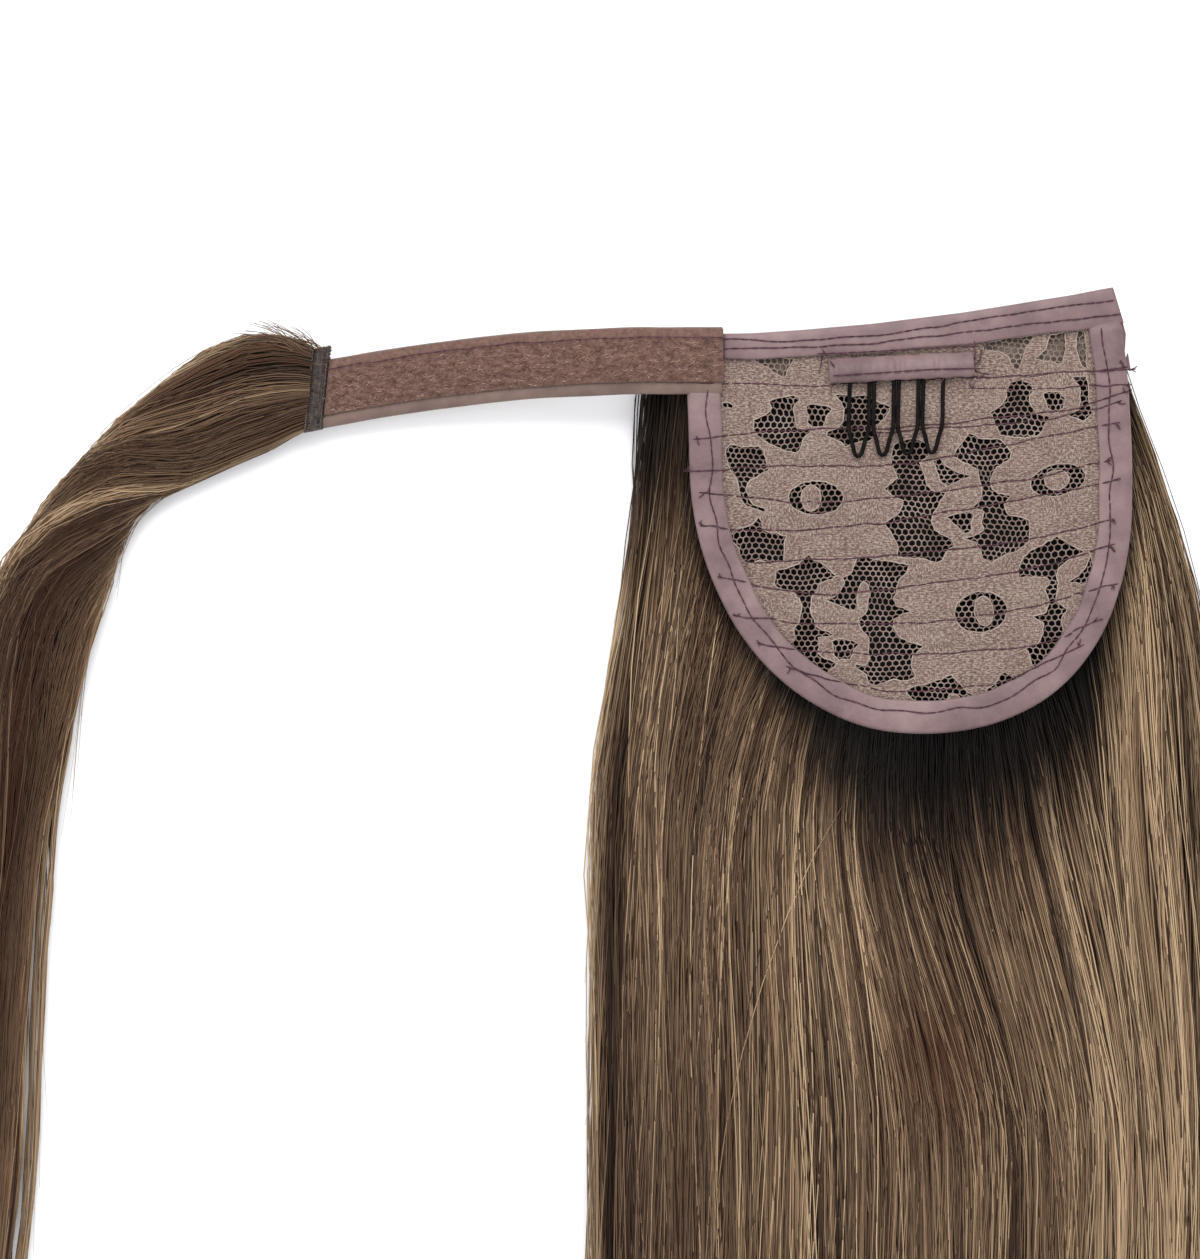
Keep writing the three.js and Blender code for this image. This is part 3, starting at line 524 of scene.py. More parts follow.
base = add_node(
    tree,
    "ShaderNodeValToRGB",
    {"Fac": clouds},
    stops=[(0.3, "#69554E"), (0.52, "#74625A"), (0.75, "#7D6F63")],
).outputs["Color"]
ribs = add_node(
    tree,
    "ShaderNodeValToRGB",
    {"Fac": knit.outputs[0]},
    stops=[(0.1, "#453530"), (0.28, "#6E5C54"), (0.48, "#9D8C80")],
).outputs["Color"]
cloth = add_node(tree, "ShaderNodeMix", {0: 0.72, 6: base, 7: ribs}, data_type="RGBA")
tree.links.new(cloth.outputs[2], shader.inputs["Base Color"])
relief = add_node(tree, "ShaderNodeBump", {"Height": knit, "Strength": 0.8, "Distance": 0.0003})
tree.links.new(relief.outputs["Normal"], shader.inputs["Normal"])
FIBRE = {"Roughness": 0.7, "Specular_IOR_Level": 0.2}
lace_thread = noisy_material("polyamide_net_thread", 160.0, 3.0, (0.3, "#5E4D45"), (0.7, "#8C7B72"), **FIBRE)
lace_gimp = noisy_material("cotton_gimp_thread", 260.0, 3.0, (0.3, "#84736A"), (0.7, "#A3958A"), **FIBRE)
grey_lining = noisy_material("grey_knitted_lining", 300.0, 3.0, (0.3, "#564A44"), (0.7, "#7C6F66"), **FIBRE)
print("cloth materials:", thread_purple.name, binding_satin.name, lace_knit.name, lace_thread.name)

# %% [markdown]
# ## Seams
# Thirteen rows of dark thread hold the hair to the lace. They run nearly level and rise to the right, and
# their ends reach over the binding with knots and cut tails. Each row is a few places along it, joined by a
# smooth line. The rows come before the lace, because the cloth dips along each one.

# %% Places of the seams
ROWS = [
    photo((681, 383), (760, 384), (830, 385), (910, 380), (1000, 377), (1070, 372), (1123, 369)),
    photo((944, 377), (1000, 377), (1060, 373), (1130, 369)),
    photo((973, 388), (1030, 390), (1080, 386), (1126, 385)),
    photo((698, 439), (755, 432), (830, 429), (900, 427), (991, 418), (1066, 410), (1124, 393)),
    photo((880, 433), (941, 428), (1000, 424), (1060, 417), (1117, 402)),
    photo((689, 471), (785, 466), (890, 465), (950, 456), (1013, 444), (1115, 423)),
    photo((704, 493), (800, 502), (870, 499), (926, 493), (1040, 477), (1106, 460)),
    photo((704, 527), (760, 530), (800, 530), (887, 522), (1000, 503), (1115, 481)),
    photo((749, 563), (820, 560), (896, 555), (960, 549), (1025, 540), (1109, 520)),
    photo((722, 578), (770, 589), (824, 594), (880, 590), (950, 581), (1030, 569), (1109, 546)),
    photo((737, 615), (770, 619), (800, 623), (920, 623), (990, 614), (1040, 605), (1112, 584)),
    photo((761, 644), (800, 650), (860, 653), (950, 653), (1040, 644), (1094, 621)),
    photo((790, 668), (840, 682), (896, 692), (950, 688), (1004, 681), (1079, 647)),
]


def seam(points, height, wave, seed):
    """A sewn line: smooth, a little uneven, at a height that is a number or an array."""
    flat = curved(points, 0.6)
    flat[:, 1] += noise_line(len(flat), 6, wave, seed)
    return np.column_stack([flat, np.broadcast_to(height, len(flat))])


row_lines = [seam(row, LACE_TOP, 0.14, 40 + i) for i, row in enumerate(ROWS)]
ROW_POINTS = np.concatenate(row_lines)[:, :2]
print(len(row_lines), "rows of thread,", round(sum(len(r) for r in row_lines) * 0.6), "mm in all")

# %% [markdown]
# The U of the pad's edge is the same line as in the CAD: a straight left leg and three curves. The binding,
# its seam and the distance of any point from the edge are all worked out from it.

# %% The pad's edge
U_CURVES = [
    ((-0.99, 0.19), (-0.97, -0.49), (-0.53, -1), (0.05, -1)),
    ((0.05, -1), (0.59, -1), (1, -0.68), (1, 0.09)),
    ((1, 0.09), (1, 0.35), (0.98, 0.6), (0.955, 0.8)),
]


def pad_edge(step):
    """The outer edge from the left leg's top round to the right leg's top."""
    reach = np.array([PAD_HALF, PAD_DROP])
    parts = [np.array([[-PAD_HALF, 27.2]])]
    for curve in U_CURVES:
        a, b, c, d = (np.array(p) * reach for p in curve)
        t = np.linspace(0, 1, 60)[:, None]
        parts.append(a * (1 - t) ** 3 + 3 * b * t * (1 - t) ** 2 + 3 * c * t**2 * (1 - t) + d * t**3)
    return resampled(np.concatenate(parts), step)


def outward_of(line):
    """Unit vectors to the right of a line's course: outwards where the line goes round anticlockwise."""
    along = np.gradient(line, axis=0)
    along /= np.linalg.norm(along, axis=1)[:, None]
    return np.stack([along[:, 1], -along[:, 0]], axis=1)


EDGE = pad_edge(0.8)
EDGE_OUT = outward_of(EDGE)


def inset(points):
    """How far inside the pad's edge points are, in mm; negative outside it."""
    points = np.atleast_2d(points)
    far, index = nearest(points, EDGE[::2])
    outwards = ((points - EDGE[::2][index]) * EDGE_OUT[::2][index]).sum(axis=1)
    return np.where(outwards > 0, -1, 1) * far


print("pad's edge:", len(EDGE), "points,", round(len(EDGE) * 0.8), "mm round")

# %% [markdown]
# ## Lace cloth
# The motifs of the lace are knitted cloth: large flowers with an eye in the middle, and between their pointed
# petals the windows of fine net. Each window is a short list of corners. The cloth is what is left of the
# CAD's outline, filled with small triangles that keep every window edge, so that it can rise in soft puffs
# between the rows of thread. Then it gets its wall.

# %% Windows between the flowers
WINDOW_CORNERS = [
    ((769, 401), (776, 398), (794, 395), (801, 399), (795, 404), (793, 409), (795, 418), (796, 428),
     (811, 430), (812, 432), (805, 437), (798, 453), (788, 452), (780, 448), (769, 444), (759, 437),
     (753, 429), (754, 420), (766, 415), (771, 409)),
    ((806, 406), (811, 403), (820, 405), (829, 406), (832, 410), (827, 415), (825, 422), (823, 427),
     (812, 427), (807, 422), (809, 415), (806, 411)),
    ((834, 394), (844, 395), (856, 396), (865, 395), (877, 402), (891, 406), (889, 413), (881, 422),
     (874, 426), (877, 434), (871, 441), (858, 442), (846, 447), (839, 441), (826, 436), (827, 431),
     (837, 429), (843, 422), (844, 409), (840, 401)),
    ((731, 444), (743, 447), (759, 446), (764, 451), (766, 461), (770, 469), (760, 475), (749, 481),
     (746, 488), (749, 498), (753, 505), (767, 509), (764, 512), (756, 509), (746, 506), (740, 498),
     (739, 488), (736, 478), (731, 471), (726, 460), (725, 450)),
    ((728, 538), (736, 529), (746, 527), (756, 522), (758, 516), (762, 522), (763, 530), (775, 533),
     (786, 536), (785, 542), (784, 552), (784, 562), (772, 563), (759, 561), (751, 564), (743, 562),
     (740, 554), (737, 545)),
    ((809, 554), (812, 559), (820, 562), (829, 569), (837, 577), (829, 580), (818, 585), (817, 592),
     (811, 597), (812, 604), (810, 611), (814, 619), (817, 628), (829, 632), (835, 634), (828, 637),
     (818, 637), (820, 645), (817, 651), (822, 658), (831, 660), (837, 664), (829, 671), (825, 679),
     (814, 670), (805, 659), (792, 651), (787, 646), (795, 639), (794, 629), (799, 622), (801, 613),
     (802, 606), (799, 599), (792, 591), (780, 589), (774, 584), (775, 579), (776, 571), (786, 568),
     (799, 564), (804, 559)),
    ((832, 641), (836, 638), (845, 639), (855, 642), (859, 645), (854, 650), (852, 656), (850, 660),
     (839, 660), (834, 657), (833, 648)),
    ((857, 558), (866, 557), (878, 560), (894, 562), (909, 565), (908, 571), (899, 580), (897, 588),
     (897, 593), (893, 598), (896, 606), (912, 611), (903, 615), (894, 620), (894, 628), (898, 635),
     (907, 641), (924, 646), (917, 653), (911, 658), (912, 667), (917, 677), (904, 681), (892, 679),
     (883, 683), (875, 686), (869, 683), (866, 674), (855, 668), (855, 664), (866, 666), (869, 659),
     (868, 651), (869, 639), (860, 628), (858, 618), (866, 613), (868, 603), (870, 592), (868, 584),
     (862, 581), (859, 590), (857, 600), (857, 611), (847, 609), (838, 605), (823, 600), (834, 597),
     (840, 592), (842, 587), (845, 583), (843, 577), (849, 575), (853, 568)),
    ((905, 691), (915, 686), (928, 684), (943, 678), (952, 674), (957, 681), (964, 688), (969, 693),
     (977, 695), (973, 700), (962, 700), (957, 695), (950, 693), (946, 703), (932, 706), (922, 709),
     (919, 703), (911, 698)),
    ((985, 695), (988, 688), (998, 681), (999, 675), (1004, 672), (1009, 675), (1013, 678), (1026, 679),
     (1022, 682), (1012, 688), (1006, 693), (1001, 698), (990, 699)),
    ((1057, 536), (1065, 542), (1074, 546), (1085, 552), (1075, 556), (1065, 563), (1058, 571),
     (1056, 578), (1058, 583), (1057, 591), (1056, 601), (1068, 609), (1063, 615), (1061, 623),
     (1064, 632), (1069, 640), (1064, 648), (1058, 658), (1044, 665), (1035, 670), (1032, 665),
     (1029, 655), (1025, 649), (1039, 643), (1043, 634), (1044, 623), (1032, 617), (1046, 613),
     (1049, 604), (1048, 595), (1044, 588), (1049, 585), (1051, 580), (1042, 577), (1030, 577),
     (1019, 578), (1018, 571), (1022, 559), (1032, 550), (1047, 542)),
    ((1091, 555), (1093, 564), (1092, 581), (1084, 585), (1074, 583), (1067, 582), (1078, 576), (1086, 567)),
    ((1010, 382), (1022, 380), (1031, 384), (1034, 390), (1029, 397), (1032, 407), (1038, 414),
     (1051, 416), (1045, 425), (1038, 436), (1026, 438), (1000, 436), (993, 419), (990, 412),
     (1001, 406), (1007, 397), (1006, 390)),
    ((1043, 394), (1050, 391), (1060, 392), (1065, 398), (1064, 407), (1056, 413), (1048, 409), (1046, 401)),
    ((1072, 377), (1087, 376), (1089, 390), (1089, 403), (1093, 413), (1084, 422), (1067, 415),
     (1078, 410), (1081, 401), (1080, 388)),
    ((969, 433), (981, 438), (1001, 439), (1012, 453), (1009, 460), (999, 466), (993, 473), (991, 480),
     (991, 488), (999, 494), (1012, 495), (1004, 504), (1007, 514), (1029, 519), (1030, 530),
     (1029, 542), (1016, 552), (1002, 557), (991, 563), (983, 559), (980, 550), (974, 541), (962, 539),
     (976, 535), (984, 530), (981, 521), (984, 511), (971, 507), (981, 500), (982, 486), (979, 478),
     (978, 470), (966, 463), (953, 457), (955, 451), (963, 441)),
    ((947, 517), (955, 514), (969, 511), (974, 515), (971, 524), (972, 531), (966, 534), (959, 530),
     (953, 523)),
    ((933, 461), (940, 458), (946, 466), (956, 472), (972, 476), (960, 480), (949, 486), (941, 483),
     (937, 472)),
    ((892, 451), (895, 443), (902, 440), (916, 438), (925, 442), (931, 452), (926, 459), (919, 461),
     (924, 473), (927, 485), (933, 491), (946, 492), (940, 504), (933, 514), (931, 522), (936, 531),
     (952, 540), (955, 546), (946, 552), (942, 561), (936, 563), (924, 559), (908, 558), (897, 557),
     (898, 547), (892, 534), (884, 524), (900, 512), (903, 500), (892, 496), (884, 489), (898, 477),
     (891, 465)),
    ((753, 358), (769, 355), (794, 359), (788, 370), (785, 378), (774, 373), (767, 366), (759, 364)),
    ((721, 403), (728, 402), (734, 405), (732, 409), (724, 408)),
    ((985, 343), (1007, 338), (1036, 335), (1026, 348), (1023, 359), (1019, 369), (1013, 369),
     (1009, 357), (999, 351), (985, 351)),
    ((1050, 335), (1065, 332), (1066, 347), (1062, 365), (1048, 362), (1034, 359), (1045, 350)),
    ((1078, 331), (1084, 331), (1087, 354), (1087, 370), (1081, 366), (1076, 347)),
]
# The eyes of the flowers: middle and half sizes of the ring of net, then of the cloth inside it, and a turn
FLOWER_EYES = [
    ((816, 498), (27.5, 17.0), (811, 498), (10.0, 13.0), 0),
    ((1058, 480), (28.0, 16.0), (1057, 480), (12.5, 10.0), 12),
    ((981, 612), (26.5, 20.5), (984, 611), (9.5, 15.0), 8),
]


def oval(middle, half, turn):
    """An oval in the photograph's pixels."""
    angle = np.linspace(0, 2 * np.pi, 33)[:-1]
    x, y = half[0] * np.cos(angle), half[1] * np.sin(angle)
    turn = math.radians(turn)
    return [
        (
            middle[0] + a * math.cos(turn) + b * math.sin(turn),
            middle[1] - a * math.sin(turn) + b * math.cos(turn),
        )
        for a, b in zip(x, y)
    ]


def knitted_edge(corners, seed):
    """A window's edge in millimetres: its corners joined, with the small steps of the knit."""
    line = photo(*corners)
    line = resampled(np.vstack([line, line[:1]]), 0.85)[:-1]
    return line + np.random.default_rng(seed).normal(0, 0.09, line.shape)


WINDOWS = [knitted_edge(corners, 300 + i) for i, corners in enumerate(WINDOW_CORNERS)]
RINGS = [
    knitted_edge(oval(middle, half, turn), 340 + i)
    for i, (middle, half, _, _, turn) in enumerate(FLOWER_EYES)
]
CORES = [
    knitted_edge(oval(middle, half, turn), 350 + i)
    for i, (_, _, middle, half, turn) in enumerate(FLOWER_EYES)
]
print(len(WINDOWS), "windows and", len(RINGS), "flower eyes")


# %% Cloth of the motifs
def merged_copy(node):
    """A CAD node's triangles with their corners joined, in millimetres round the pad's middle."""
    body = bmesh.new()
    body.from_mesh(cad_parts[node].data)
    bmesh.ops.remove_doubles(body, verts=body.verts, dist=2e-6)
    for vert in body.verts:
        vert.co = Vector(np.array(vert.co) / MM - PAD_MIDDLE)
    body.verts.index_update()
    body.normal_update()
    return body


def outer_loop(body):
    """The longest closed line round the top faces of a flat plate."""
    follow = {}
    for face in body.faces:
        if face.normal.z < 0.9:
            continue
        for loop in face.loops:
            others = [other for other in loop.edge.link_faces if other is not face]
            if others and abs(others[0].normal.z) < 0.5:
                follow[loop.vert.index] = loop.link_loop_next.vert.index
    body.verts.ensure_lookup_table()
    found = []
    while follow:
        first, here = follow.popitem()
        line = [first]
        while here != first:
            line.append(here)
            here = follow.pop(here)
        found.append(np.array([body.verts[i].co[:2] for i in line]))
    return max(found, key=lambda line: np.ptp(line[:, 0]) * np.ptp(line[:, 1]))


def inside(points, polygon):
    """Whether points lie in a polygon, by counting the edges to their right."""
    points = np.asarray(points, float)
    x, y = points[:, 0], points[:, 1]
    found = np.zeros(len(points), bool)
    for (ax, ay), (bx, by) in zip(polygon, np.roll(polygon, -1, axis=0)):
        crosses = (ay > y) != (by > y)
        at = ax + (y - ay) * (bx - ax) / (by - ay if by != ay else 1e-9)
        found ^= crosses & (x < at)
    return found


def puff(points):
    """How far the cloth stands up: low along the rows of thread and level under the binding."""
    points = np.asarray(points, float)
    from_row = nearest(points, ROW_POINTS[::2])[0]
    swell = 0.24 * smooth(from_row, 0.2, 3.2) - 0.24 * (1 - smooth(from_row, 0.0, 1.2))
    waves = 0.06 * np.sin(points[:, 0] / 2.1 + 1.3 * np.sin(points[:, 1] / 5)) * smooth(from_row, 0, 2)
    open_cloth = smooth(inset(points), 8.5, 11.0) * (1 - smooth(points[:, 1], 27, 31))
    return (swell + waves) * open_cloth


lace_body = merged_copy("lace_pad")
rim_line = outer_loop(lace_body)
LACE_OUTLINE = resampled(np.vstack([rim_line, rim_line[:1]]), 2.0)[:-1]
lace_body.free()
grid = np.stack(np.meshgrid(np.arange(-52, 53, 1.5), np.arange(-53, 52, 1.5)), axis=2).reshape(-1, 2)
grid = grid + np.random.default_rng(7).normal(0, 0.15, grid.shape)
all_loops = [LACE_OUTLINE, *WINDOWS, *RINGS, *CORES]
edge_points = np.concatenate(all_loops)
keep = inside(grid, LACE_OUTLINE) & (nearest(grid, edge_points)[0] >= 0.6)
flat_points = np.concatenate([edge_points, grid[keep]])
edges, first = [], 0
for line in all_loops:
    count = len(line)
    edges += [(first + i, first + (i + 1) % count) for i in range(count)]
    first += count
filled = delaunay_2d_cdt([Vector(p) for p in flat_points], edges, [], 0, 1e-5)
cloth_points = np.array([p[:] for p in filled[0]])
faces = np.array([face for face in filled[2]])
middles = cloth_points[faces].mean(axis=1)
is_cloth = inside(middles, LACE_OUTLINE)
for window in (*WINDOWS, *RINGS):
    is_cloth &= ~inside(middles, window)
for core in CORES:
    is_cloth |= inside(middles, core)
faces = faces[is_cloth]
corner = cloth_points[faces]
area = np.cross(corner[:, 1] - corner[:, 0], corner[:, 2] - corner[:, 0])
faces[area < 0] = faces[area < 0][:, ::-1]
LACE_AREA = float(np.abs(area).sum() / 2)
used, faces = np.unique(faces, return_inverse=True)
faces = faces.reshape(-1, 3)
cloth_points = cloth_points[used]
rise = puff(cloth_points)
count = len(cloth_points)
upper = np.column_stack([cloth_points, LACE_TOP + rise])
lower = np.column_stack([cloth_points, LACE_UNDERSIDE + rise])
directed = {(int(a), int(b)) for face in faces for a, b in zip(face, np.roll(face, -1))}
walls = [(b, a, a + count, b + count) for a, b in directed if (b, a) not in directed]
lace_faces = [tuple(int(i) for i in face) for face in faces]
lace_faces += [tuple(int(i) + count for i in face[::-1]) for face in faces]
lace_piece = turned_outwards(
    new_piece("lace_cloth", np.vstack([upper, lower]), lace_faces + sorted(walls), lace_knit, flat=True)
)
finish_piece(lace_piece, "lace_cloth", "lace_pad")
print("knitted cloth of the lace:", round(LACE_AREA), "square mm")

# %% [markdown]
# ## Net in the windows
# The net is a honeycomb of single threads with cells about 1.5 mm wide. Its rule is old: a grid whose every
# second row is shifted by half a cell, triangulated, has a dual mesh of regular hexagons. A little noise
# bends the rows, because the lace is stretched by hand. Points outside the windows are deleted by their
# distance from the window faces, and what is left becomes tubes.

# %% Honeycomb net
NET_CELL = 1.5
NET_THREAD = 0.175
NET_HEIGHT = 13.4
net_tree, given = new_tree(
    "Honeycomb net",
    [
        ("Windows", "Geometry"),
        ("Cell", "Float"),
        ("Thread radius", "Float"),
        ("Reach", "Float"),
        ("Columns", "Int"),
        ("Rows", "Int"),
        ("Middle", "Vector"),
        ("Material", "Material"),
    ],
)
columns_less = add_node(net_tree, "ShaderNodeMath", {0: given["Columns"], 1: 1.0}, operation="SUBTRACT")
rows_less = add_node(net_tree, "ShaderNodeMath", {0: given["Rows"], 1: 1.0}, operation="SUBTRACT")
row_pitch = add_node(
    net_tree, "ShaderNodeMath", {0: given["Cell"], 1: math.sqrt(3) / 2}, operation="MULTIPLY"
)
grid = add_node(
    net_tree,
    "GeometryNodeMeshGrid",
    {
        "Size X": add_node(
            net_tree, "ShaderNodeMath", {0: columns_less, 1: given["Cell"]}, operation="MULTIPLY"
        ).outputs[0],
        "Size Y": add_node(
            net_tree,
            "ShaderNodeMath",
            {0: rows_less, 1: row_pitch},
            operation="MULTIPLY",
        ).outputs[0],
        "Vertices X": given["Columns"],
        "Vertices Y": given["Rows"],
    },
)
number = add_node(net_tree, "GeometryNodeInputIndex")
row_number = add_node(net_tree, "ShaderNodeMath", {0: number, 1: given["Rows"]}, operation="MODULO")
odd = add_node(net_tree, "ShaderNodeMath", {0: row_number, 1: 2.0}, operation="MODULO")
half_cell = add_node(net_tree, "ShaderNodeMath", {0: given["Cell"], 1: 0.5}, operation="MULTIPLY")
shift = add_node(net_tree, "ShaderNodeMath", {0: odd, 1: half_cell}, operation="MULTIPLY")
moved = add_node(
    net_tree,
    "GeometryNodeSetPosition",
    {"Geometry": grid, "Offset": add_node(net_tree, "ShaderNodeCombineXYZ", {"X": shift}).outputs["Vector"]},
)
split = add_node(net_tree, "GeometryNodeTriangulate", {"Mesh": moved}, quad_method="SHORTEST_DIAGONAL")
honeycomb = add_node(net_tree, "GeometryNodeDualMesh", {"Mesh": split})
here = add_node(net_tree, "GeometryNodeInputPosition")
stretch = add_node(net_tree, "ShaderNodeTexNoise", {"Vector": here, "Scale": 70.0, "Detail": 2.0})
centred = add_node(
    net_tree, "ShaderNodeVectorMath", {0: stretch.outputs["Color"], 1: (0.5, 0.5, 0.5)}, operation="SUBTRACT"
)
bent = add_node(
    net_tree,
    "ShaderNodeVectorMath",
    {0: centred, 1: (0.0034, 0.0042, 0.0012)},
    operation="MULTIPLY",
)
laid = add_node(
    net_tree,
    "GeometryNodeSetPosition",
    {
        "Geometry": honeycomb,
        "Offset": add_node(
            net_tree,
            "ShaderNodeVectorMath",
            {0: bent, 1: given["Middle"]},
            operation="ADD",
        ).outputs["Vector"],
    },
)
away = add_node(net_tree, "GeometryNodeProximity", {0: given["Windows"]}, target_element="FACES")
outside = add_node(
    net_tree, "ShaderNodeMath", {0: away.outputs["Distance"], 1: given["Reach"]}, operation="GREATER_THAN"
)
kept = add_node(
    net_tree,
    "GeometryNodeDeleteGeometry",
    {"Geometry": laid, "Selection": outside},
    domain="POINT",
)
net_curves = add_node(net_tree, "GeometryNodeMeshToCurve", {"Mesh": kept})
net_profile = add_node(net_tree, "GeometryNodeCurvePrimitiveCircle", {"Resolution": 4, "Radius": 1.0})
net_tubes = add_node(
    net_tree,
    "GeometryNodeCurveToMesh",
    {"Curve": net_curves, "Profile Curve": net_profile, "Scale": given["Thread radius"], "Fill Caps": True},
)
close_tree(net_tree, given, net_tubes)

openings = [*WINDOWS, *RINGS]
window_points = np.concatenate([np.column_stack([w, np.full(len(w), NET_HEIGHT)]) for w in openings])
ends = np.cumsum([len(w) for w in openings])
window_faces = [tuple(range(end - len(w), end)) for end, w in zip(ends, openings)]
windows_object = new_piece("windows", window_points, window_faces, lace_thread, flat=True)
net_piece = grown(
    "lace_net",
    net_tree,
    windows_object,
    Cell=NET_CELL * MM,
    Thread_radius=NET_THREAD * MM,
    Reach=0.7 * MM,
    Columns=74,
    Rows=84,
    Middle=[float(v) for v in (PAD_MIDDLE + [0, -2, NET_HEIGHT]) * MM],
    Material=lace_thread,
)
finish_piece(net_piece, "lace_cloth")

# %% [markdown]
# Each motif is edged with a thicker thread, the gimp, which catches the light along the window's edge: its
# paler colour is partly a painted highlight.

# %% Gimp round the windows
gimp_lines = []
for line in (*WINDOWS, *RINGS, *CORES):
    line = np.vstack([line, line[:1]])
    gimp_lines.append(np.column_stack([line, LACE_TOP + puff(line) - 0.04]))
gimp_piece = tubes("lace_gimp", gimp_lines, 0.17, lace_gimp, "lace_cloth")

# %% [markdown]
# Along the top a second layer of cloth lies behind the lace, so the net there looks grey instead of black.

# %% Backing strip
strip_rings = []
for x in np.linspace(-44.0, 44.5, 40):
    top = np.interp(x, [-44, -20, 20, 44.5], [37.0, 37.0, 41.0, 44.5])
    low = 31.0 + 0.4 * math.sin(x / 3)
    ring = [
        (top, 12.1),
        (top, 12.45),
        ((top + low) / 2, 12.5),
        (low, 12.45),
        (low, 12.1),
        ((top + low) / 2, 12.05),
    ]
    strip_rings.append([(x, y, z) for y, z in ring])
strip_piece = solid("backing_strip", strip_rings, grey_lining, "lace_cloth")

# %% [markdown]
# ## Binding and band
# The binding is one satin tape folded over the lace's edge, so its section is a U that lies on its side: a
# fold outside and two flanges that reach in over and under the lace. A loft carries that section round the
# pad. The upper flange puckers where the seam draws it in. The band along the top is the same fold,
# straighter and wider to the right.


# %% Folded tapes
def fold_section(width, low, high):
    """A folded tape's section as pairs of inset and height, anticlockwise seen along the run."""
    wall = 1.0
    return np.array(
        [
            (width, high - 0.85),
            (width, high - 0.3),
            (width - 0.5, high - 0.12),
            (width * 0.62, high - 0.02),
            (width * 0.3, high),
            (0.9, high - 0.02),
            (0.35, high - 0.25),
            (0.08, high - 0.75),
            (0.0, (low + high) / 2),
            (0.08, low + 0.75),
            (0.35, low + 0.25),
            (0.9, low),
            (width, low),
            (width, low + wall * 0.9),
            (1.0, low + wall * 0.95),
            (0.95, high - wall),
        ]
    )


def folded_tape(line, out, widths, low, high, pucker, seed):
    """Rings of a tape that is folded round an edge."""
    count = len(line)
    lift = noise_line(count, 3, pucker, seed)
    sway = noise_line(count, 9, 0.12, seed + 1)
    rings = []
    for i in range(count):
        section = fold_section(widths[i], low, high)
        share = np.clip((section[:, 0] - 1) / widths[i], 0, 1)
        upper = (section[:, 1] > (low + high) / 2).astype(float)
        height = section[:, 1] + upper * lift[i] * np.sin(np.pi * share) * 0.8
        reach = section[:, 0] + sway[i] * (0.3 + share)
        place = line[i] - out[i] * reach[:, None]
        rings.append(np.column_stack([place, height]))
    return np.array(rings)


edge_line = pad_edge(0.9)
edge_out = outward_of(edge_line)
flange_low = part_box("edge_binding")[0].z / MM
# The folded tape's width, and how far each end runs past the edge line.
BINDING_WIDE = 7.9
BINDING_TUCK = 3.4
widths = np.full(len(edge_line), BINDING_WIDE)
rings = folded_tape(edge_line, edge_out, widths, flange_low, FLANGE_TOP, 0.05, 70)
ends = []
for ring, inner in ((rings[0], rings[1]), (rings[-1], rings[-2])):
    step = (ring - inner).mean(axis=0)
    tucked = ring + step / np.linalg.norm(step) * BINDING_TUCK
    tucked[:, 2] -= 0.15 * (tucked[:, 2] > 13)
    ends.append(tucked)
all_rings = np.concatenate([ends[:1], rings, ends[1:]])
binding_piece = solid("binding_tape", all_rings, binding_satin, "mauve_satin", "edge_binding")

STRAP_START = -44.5
BAND_END = 48.2


def band_place(share, down):
    """A place on the band: a share of its run and a distance below its upper edge."""
    share = np.asarray(share, float)
    x = mix(STRAP_START, BAND_END, share)
    return np.column_stack([x, 42.1 + 11 * np.maximum(share, 0) ** 1.6 - down])


band_shares = np.linspace(0.0, 1.0, 110)
band_line = band_place(band_shares, 0)
band_out = outward_of(band_line[::-1])[::-1]
band_widths = mix(5.9, 8.7, band_shares)
band_rings = folded_tape(band_line, band_out, band_widths, flange_low, FLANGE_TOP, 0.05, 90)
lean = 1.0 * smooth(band_shares, 0.75, 1.0)
for ring, edge, wide, by in zip(band_rings, band_line, band_widths, lean):
    ring[:, 0] += by * np.clip((edge[1] - ring[:, 1]) / wide, 0, 1)
band_points, band_faces = loft(band_rings)
print("band:", band_line[0].round(1), "to", band_line[-1].round(1))

# %% [markdown]
# The strap is a flat satin tape that comes down from the pad to the surface, bending slowly to the left. Its
# course is the CAD's: level over the pad, then an arc of a large circle seen from above and a soft descent.


# %% Strap
STRAP_RADIUS = 420.0
STRAP_MIDDLE = 35.5
STRAP_LEVEL = 16.0
STRAP_CURVED = 80.0
STRAP_DESCENT = 8.2
END_SLANT = 0.3


def strap_place(distance):
    """Middle of the strap, its drop and the direction across it, at distances from the pad."""
    distance = np.asarray(distance, float)
    past = np.maximum(0, distance - STRAP_LEVEL)
    angle = past / STRAP_RADIUS
    x = STRAP_START - np.minimum(distance, STRAP_LEVEL) - STRAP_RADIUS * np.sin(angle)
    y = STRAP_MIDDLE - STRAP_RADIUS * (1 - np.cos(angle))
    drop = STRAP_DESCENT * smooth(past / STRAP_CURVED)
    side = np.stack([-np.sin(angle), np.cos(angle)], axis=1)
    return np.stack([x, y], axis=1), drop, side


